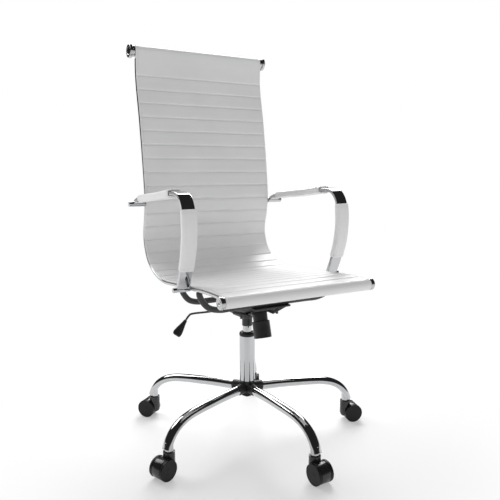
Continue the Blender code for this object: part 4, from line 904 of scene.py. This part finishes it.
# The lever is a round rod along a bent line. Its grip is a superellipse carried along a straight line, its two
# half sizes read from a smooth curve through the shape's knots.
def makeLever(look):
    start, way = np.array(look["start"]), np.array(look["way"])
    way = way / np.linalg.norm(way)
    z = look["z"]
    tail = [start + way * run for run in (-0.0100, -0.0030, 0.0040, 0.0120)]
    knots = [(0.0050, z), (-0.0600, z + 0.0004), (-0.1300, z + 0.0012), (-0.1700, z + 0.0020),
             (-0.1800, z + 0.0006)]
    line = evenLine(knots + [(p[0], p[2]) for p in tail], 0.0020)
    size = 2 * look["radius"]
    makePiece("lift_lever_rod", [bar(frontPath(line, 0.0), ovalOutline(size, size, 24), 0.0005)], [blackSteel],
              ["lever_rod"])
    broad = np.array([way[2], 0, -way[0]]) * -0.72 + np.array([0, -0.69, 0])
    broad /= np.linalg.norm(broad)
    thin = np.cross(way, broad)
    shape = evenLine(look["shape"], 0.0010)
    shape[:, 0] = np.clip(shape[:, 0], 0, 0.0485)
    end = shape[-1]
    turn = np.linspace(0, np.pi / 2, 8)[1:]
    over = np.column_stack([end[0] + 0 * turn, end[1] * np.cos(turn), end[2] * np.cos(turn)])
    begin = np.column_stack([0 * turn, shape[0, 1] * np.sin(turn), shape[0, 2] * np.sin(turn)])[2:-1]
    rows = np.vstack([begin, shape, over[:-1]])
    centre = start + way * rows[:, :1]
    path = (centre, np.tile(broad, (len(rows), 1)), np.tile(thin, (len(rows), 1)))
    grid = carry(path, ovalOutline(2 * rows[:, 1], 2 * rows[:, 2], 48, 2.3))
    makePiece("lift_lever_grip", [skin(grid, ends=("cap", "cap"))], [blackPlastic], ["lever_paddle"])


makeLever(leverLook)
print("tilt and lift controls made")


liftLook = {"tube": 0.0225, "tubeTop": 0.2990, "tubeBottom": 0.1170, "bushTop": 0.3100, "spigot": 0.0125,
            "step": 0.1643, "lift": 0.0132, "liftTop": 0.3640, "wall": 0.0020}


# The column is a turned tube above a step, a slim black foot below it, a bush in its mouth and the lift.
def makeLift(look):
    r, low, top = look["tube"], look["tubeBottom"], look["tubeTop"]
    inner = r - look["wall"]
    spigot, step = look["spigot"], look["step"]
    hollow = spigot - look["wall"]
    tube = [(hollow, step), (r, step), (r, top), (inner, top), (inner, step + 0.0025), (hollow, step + 0.0025)]
    foot = [(0.0054, low), (spigot, low), (spigot, step), (hollow, step), (hollow, low + 0.0040),
            (0.0054, low + 0.0040)]
    shells = [turned(eased(tube, 0.0008), None, 96, closed=True),
              turned(eased(foot, 0.0004), None, 64, closed=True, finish=1)]
    makePiece("column_outer_tube", shells, [chrome, blackSteel], ["column_tube"])
    bore = look["lift"] + 0.0003
    bush = [(bore, top - 0.070), (inner - 0.0003, top - 0.070), (inner - 0.0003, top + 0.0003),
            (r + 0.0004, top + 0.0003), (r + 0.0008, top + 0.0022), (r + 0.0004, look["bushTop"] - 0.0042),
            (r - 0.0030, look["bushTop"]), (bore, look["bushTop"])]
    makePiece("column_guide_bush", [turned(eased(bush, 0.0010), None, 80, closed=True)], [blackPlastic],
              ["column_bush"])
    r, low, top = look["lift"], step + 0.0060, look["liftTop"]
    core = [(0.0056, low), (r, low), (r, top), (0.0043, top), (0.0043, top - 0.0150), (0.0, top - 0.0150)]
    makePiece("column_lift_cylinder", [turned(eased(core, 0.0008, False), None, 64)], [chrome],
              ["gas_cylinder"])


makeLift(liftLook)
# Hidden pieces keep their CAD meshes and take a steel finish.
for name in ("piston_rod", "valve_pin", "thrust_bearing", "retaining_clip", "top_bar", "front_bar",
             *["caster_stem_%d" % k for k in range(1, 6)]):
    for slotNow in frame["nodes"][name].material_slots:
        slotNow.material = blackSteel if name == "retaining_clip" else plainSteel
print("column made")


baseLook = {"first": 129.27, "legs": 5, "stemCircle": 0.3158, "hubTop": 0.1640, "hubBottom": 0.1190,
            "socketEnd": 0.0450, "socket": 0.0115, "socketBottom": 0.0670, "socketTop": 0.0920, "hub": 0.0200,
            "hubFoot": 0.0190, "hubWaist": 0.0168, "armStart": 0.0160, "armWide": 0.0250, "armHigh": 0.0300,
            "armZ": 0.1420, "legWide": 0.0244, "legSpread": 0.0052, "legHigh": 0.0280, "legFlatten": 0.0070,
            "knots": [(0.0453, 0.1420), (0.1050, 0.1427), (0.1550, 0.1415), (0.2000, 0.1400), (0.2400, 0.1365),
                      (0.2720, 0.1280), (0.2970, 0.1130), (0.3140, 0.0930), (0.3235, 0.0710)]}


# The legs stand at even turns about the column.
def legPlace(look, number):
    return Matrix.Rotation(math.radians(look["first"] + 360 / look["legs"] * number), 4, "Z")


# A path is turned by turning its points and its two side directions alike.
def turnPath(path, place):
    turn = np.array(place)[:3, :3]
    return tuple(v @ turn.T for v in path)


# The hub is turned with a waist, and has a short rounded box arm for each leg that narrows in its last 4 mm.
def makeHub(look):
    r = liftLook["spigot"] + 0.0003
    low, top = look["hubBottom"], look["hubTop"]
    profile = [(r, low), (look["hubFoot"], low), (look["hubFoot"], low + 0.0014), (0.0172, low + 0.0050),
               (look["hubWaist"], low + 0.0100), (look["hub"], low + 0.0150), (look["hub"], top), (r, top)]
    shells = [turned(eased(profile, 0.0016), None, 96, closed=True)]
    x = np.linspace(look["armStart"], look["socketEnd"], 16)
    size = 1 - 0.06 * np.clip((x - look["socketEnd"] + 0.004) / 0.004, 0, 1)
    path = levelPath(np.column_stack([x, 0 * x, 0 * x + look["armZ"]]))
    outline = boxOutline(look["armWide"] * size, look["armHigh"] * size, 0.0105 * size, 8)
    for k in range(look["legs"]):
        shells.append(bar(turnPath(path, legPlace(look, k)), outline, 0.0012))
    makePiece("base_star_hub", shells, [blackPlastic], ["base_hub"])


# A leg is an oval carried along an arched line, growing wider and flatter towards its foot, with a turned
# socket at the foot that the caster stem goes up into, closed on top by a small plug.
def makeLeg(look, k):
    place = legPlace(look, k)
    line = evenLine(look["knots"], 0.0030)
    share = np.linspace(0, 1, len(line))
    oval = ovalOutline(look["legWide"] + look["legSpread"] * share ** 3,
                       look["legHigh"] - look["legFlatten"] * share, 56)
    leg = bar(turnPath(frontPath(line, 0.0), place), oval, 0.0010)
    leg["points"][:, 2] = np.maximum(leg["points"][:, 2], look["socketBottom"] + 0.0002)
    at = place @ Matrix.Translation((look["stemCircle"], 0, 0))
    r, low, top = look["socket"], look["socketBottom"], look["socketTop"]
    socket = [(0.0060, low), (r, low), (r, top), (0.0070, top), (0, top)]
    plug = [(0, top - 0.0010), (0.0062, top - 0.0010), (0.0062, top + 0.0008), (0.0040, top + 0.0018),
            (0, top + 0.0018)]
    shells = [leg, turned(eased(socket, 0.0013, False), at, 56),
              turned(eased(plug, 0.0006, False), at, 32, finish=1)]
    makePiece("base_arched_leg_%d" % (k + 1), shells, [chrome, blackPlastic], ["base_leg_%d" % (k + 1)])


makeHub(baseLook)
for k in range(baseLook["legs"]):
    makeLeg(baseLook, k)
print("base made")


casterLook = {"trail": 0.0210, "wheel": 0.0275, "inner": 0.0150, "outer": 0.0225, "hood": 0.0272,
              "hoodHalf": 0.0142, "hoodBottom": 0.0080, "boss": 0.0154, "axle": 0.0035}


# A caster turns about its stem, with its axle behind it by the trail; a wheel's own axis points outwards.
def casterPlace(k):
    return legPlace(baseLook, k) @ Matrix.Translation((baseLook["stemCircle"], 0, 0))


def acrossPlace(k, sign):
    turn = Matrix.Rotation(math.radians(-90.0 * sign), 4, "X")
    return casterPlace(k) @ Matrix.Translation((casterLook["trail"], 0, casterLook["wheel"])) @ turn


# The hood is a round slab with its foot cut flat. The stem's boss is turned, and its width across is held
# to the gap between the wheels wherever a wheel is beside it; the limit opens smoothly outside the wheels.
def makeCaster(k, look):
    h, r, top = look["hoodHalf"], look["boss"], baseLook["socketBottom"] - 0.0003
    cut = math.degrees(math.asin((look["wheel"] - look["hoodBottom"]) / look["hood"]))
    web = circlePoints(0.0, look["wheel"], look["hood"], -cut, 180 + cut, 44)
    profile = [(0, 0.0150), (r - 0.0070, 0.0155), (r - 0.0020, 0.0200), (r, 0.0270), (r, top), (0.0058, top),
               (0.0, top - 0.0002)]
    line = eased(profile, 0.0014, False)
    fine = readLine(line, np.unique(np.concatenate([lengths(line), np.linspace(0, lengths(line)[-1], 70)])))

    def pinch(grid):
        away = np.hypot(grid[..., 0] - look["trail"], grid[..., 2] - look["wheel"]) - look["wheel"] - 0.0009
        limit = h + 0.012 * np.clip(away / 0.0022, 0, 1) ** 2
        return np.stack([grid[..., 0], np.clip(grid[..., 1], -limit, limit), grid[..., 2]], -1)

    end = look["outer"] - 0.0020
    axle = [(0, -end), (look["axle"], -end), (look["axle"], end), (0, end)]
    quarter = Matrix.Rotation(math.radians(90), 4, "Z")
    hoodPlace = casterPlace(k) @ Matrix.Translation((look["trail"], 0, 0)) @ quarter
    shells = [slab(web, -h, h, 0.0009, hoodPlace), turned(fine, casterPlace(k), 96, shape=pinch),
              turned(eased(axle, 0.0005, False), acrossPlace(k, 1), 24)]
    makePiece("caster_%d_fork" % (k + 1), shells, [hoodPlastic], ["caster_hood_%d" % (k + 1)])
    r, a, b = look["wheel"], look["inner"], look["outer"]
    bore = look["axle"] + 0.0003
    wheel = [(0, b - 0.0002), (0.0052, b - 0.0002), (0.0060, b - 0.0006), (0.0236, b - 0.0004), (0.0244, b),
             (r, b), (r, a), (bore, a), (bore, b - 0.0016), (0, b - 0.0016)]
    edge = np.array([0.0003, 0.0003, 0.0004, 0.0004, 0.0005, 0.0026, 0.0012, 0.0003, 0.0002, 0.0002])[:, None]
    for sign, sideName in ((-1, "a"), (1, "b")):
        makePiece("caster_%d_wheel_%s" % (k + 1, sideName),
                  [turned(eased(wheel, edge, False, 6), acrossPlace(k, sign), 88)], [wheelPlastic],
                  ["caster_wheel_%d%s" % (k + 1, sideName)])


for k in range(baseLook["legs"]):
    makeCaster(k, casterLook)
print("casters made")


studioLook = {"floorSize": 24.0, "floorDrop": 0.0004, "floor": (0.80, 0.80, 0.80),
              "fade": (0.30, 0.85), "leastGlow": 0.34, "nearGlow": 0.72, "glowTurn": (-1.3, -0.45),
              "behind": (0.495, 0.869, 0.0), "front": 0.68, "frontRoof": 0.44, "frontFade": (0.30, 0.70),
              "back": 0.50, "zenith": 0.02, "backFade": (0.50, 0.90), "sideFade": (-0.20, 0.30),
              "mirrorLow": 0.50, "mirrorHigh": 0.025, "mirrorFade": (0.0, 0.09)}


# The floor is pale and matt under the chair. A soft white glow takes over with distance, weaker on the side
# that the chair faces.
def makeFloor(look):
    half, low = look["floorSize"] / 2, -look["floorDrop"]
    mesh = bpy.data.meshes.new("studio_floor")
    mesh.from_pydata([(-half, -half, low), (half, -half, low), (half, half, low), (-half, half, low)], [],
                     [(0, 1, 2, 3)])
    floor = bpy.data.objects.new("studio_floor", mesh)
    bpy.context.scene.collection.objects.link(floor)
    finish, nodes, links, shader, place = newFinish("studioFloor", look["floor"], 0.6, Specular_IOR_Level=0.2)
    away = nodes.new("ShaderNodeVectorMath")
    away.operation = "LENGTH"
    links.new(place, away.inputs[0])
    glow = nodes.new("ShaderNodeEmission")
    blend = nodes.new("ShaderNodeMixShader")
    fade = spread(nodes, links, away.outputs["Value"], look["leastGlow"], 1.0, *look["fade"], "SMOOTHSTEP")
    lean = nodes.new("ShaderNodeVectorMath")
    lean.operation = "DOT_PRODUCT"
    lean.inputs[1].default_value = look["behind"]
    links.new(place, lean.inputs[0])
    links.new(spread(nodes, links, lean.outputs["Value"], look["nearGlow"], 1.0, *look["glowTurn"]),
              glow.inputs["Strength"])
    links.new(fade, blend.inputs["Fac"])
    links.new(shader.outputs["BSDF"], blend.inputs[1])
    links.new(glow.outputs["Emission"], blend.inputs[2])
    links.new(blend.outputs["Shader"], nodes["Material Output"].inputs["Surface"])
    mesh.materials.append(finish)


# The studio's light goes by direction. Matt faces get a soft light that fades upwards, gently in front of the
# chair and to dark behind it. Mirrored faces see a pale floor and a dark room. The camera sees plain white.
def makeStudio(look):
    world = bpy.data.worlds.new("studio")
    bpy.context.scene.world = world
    world.use_nodes = True
    nodes, links = world.node_tree.nodes, world.node_tree.links
    sky = nodes["Background"]
    place = nodes.new("ShaderNodeTexCoord").outputs["Generated"]
    lean = nodes.new("ShaderNodeVectorMath")
    lean.operation = "DOT_PRODUCT"
    lean.inputs[1].default_value = look["behind"]
    links.new(place, lean.inputs[0])
    parts = nodes.new("ShaderNodeSeparateXYZ")
    links.new(place, parts.inputs["Vector"])
    near = spread(nodes, links, parts.outputs["Z"], look["front"], look["frontRoof"], *look["frontFade"])
    far = spread(nodes, links, parts.outputs["Z"], look["back"], look["zenith"], *look["backFade"])
    side = spread(nodes, links, lean.outputs["Value"], 0.0, 1.0, *look["sideFade"])
    both = nodes.new("ShaderNodeMix")
    links.new(side, both.inputs["Factor"])
    links.new(near, both.inputs["A"])
    links.new(far, both.inputs["B"])
    mirrored = spread(nodes, links, parts.outputs["Z"], look["mirrorLow"], look["mirrorHigh"],
                      *look["mirrorFade"])
    seen = nodes.new("ShaderNodeLightPath")
    either = nodes.new("ShaderNodeMix")
    links.new(seen.outputs["Is Glossy Ray"], either.inputs["Factor"])
    links.new(both.outputs["Result"], either.inputs["A"])
    links.new(mirrored, either.inputs["B"])
    links.new(either.outputs["Result"], sky.inputs["Strength"])
    plain = nodes.new("ShaderNodeBackground")
    blend = nodes.new("ShaderNodeMixShader")
    links.new(seen.outputs["Is Camera Ray"], blend.inputs["Fac"])
    links.new(sky.outputs["Background"], blend.inputs[1])
    links.new(plain.outputs["Background"], blend.inputs[2])
    links.new(blend.outputs["Shader"], nodes["World Output"].inputs["Surface"])
    sky.inputs["Color"].default_value = (1, 1, 1, 1)
    plain.inputs["Color"].default_value = (1, 1, 1, 1)


# Two soft lamps stand behind the chair, high at its two sides.
lampLook = [
    {"name": "right_softbox", "spot": (1.2, 1.55, 2.15), "aim": (0, 0, 0.45), "size": 1.8, "power": 84.0},
    {"name": "left_softbox", "spot": (-0.95, 1.8, 2.2), "aim": (0, 0, 0.45), "size": 1.5, "power": 34.0},
]


# A lamp is a square area light turned to face its aim.
def makeLamp(look):
    lamp = bpy.data.lights.new(look["name"], "AREA")
    lamp.shape = "SQUARE"
    lamp.size = look["size"]
    lamp.energy = look["power"]
    holder = bpy.data.objects.new(look["name"], lamp)
    holder.location = look["spot"]
    holder.rotation_euler = (Vector(look["aim"]) - Vector(look["spot"])).to_track_quat("-Z", "Y").to_euler()
    bpy.context.scene.collection.objects.link(holder)


cameraLook = {"spot": (-0.79772, -1.38902, 0.78103), "turn": (81.85366, 0.0, -29.68888), "lens": 41.004}


def makeCamera(look):
    eye = bpy.data.cameras.new("eye")
    eye.lens = look["lens"]
    eye.sensor_width = 36.0
    eye.clip_end = 100.0
    holder = bpy.data.objects.new("eye", eye)
    holder.location = look["spot"]
    holder.rotation_euler = [math.radians(v) for v in look["turn"]]
    bpy.context.scene.collection.objects.link(holder)
    bpy.context.scene.camera = holder


makeFloor(studioLook)
makeStudio(studioLook)
for look in lampLook:
    makeLamp(look)
makeCamera(cameraLook)
bpy.context.scene.view_settings.view_transform = "Standard"
print("floor, light and camera set")
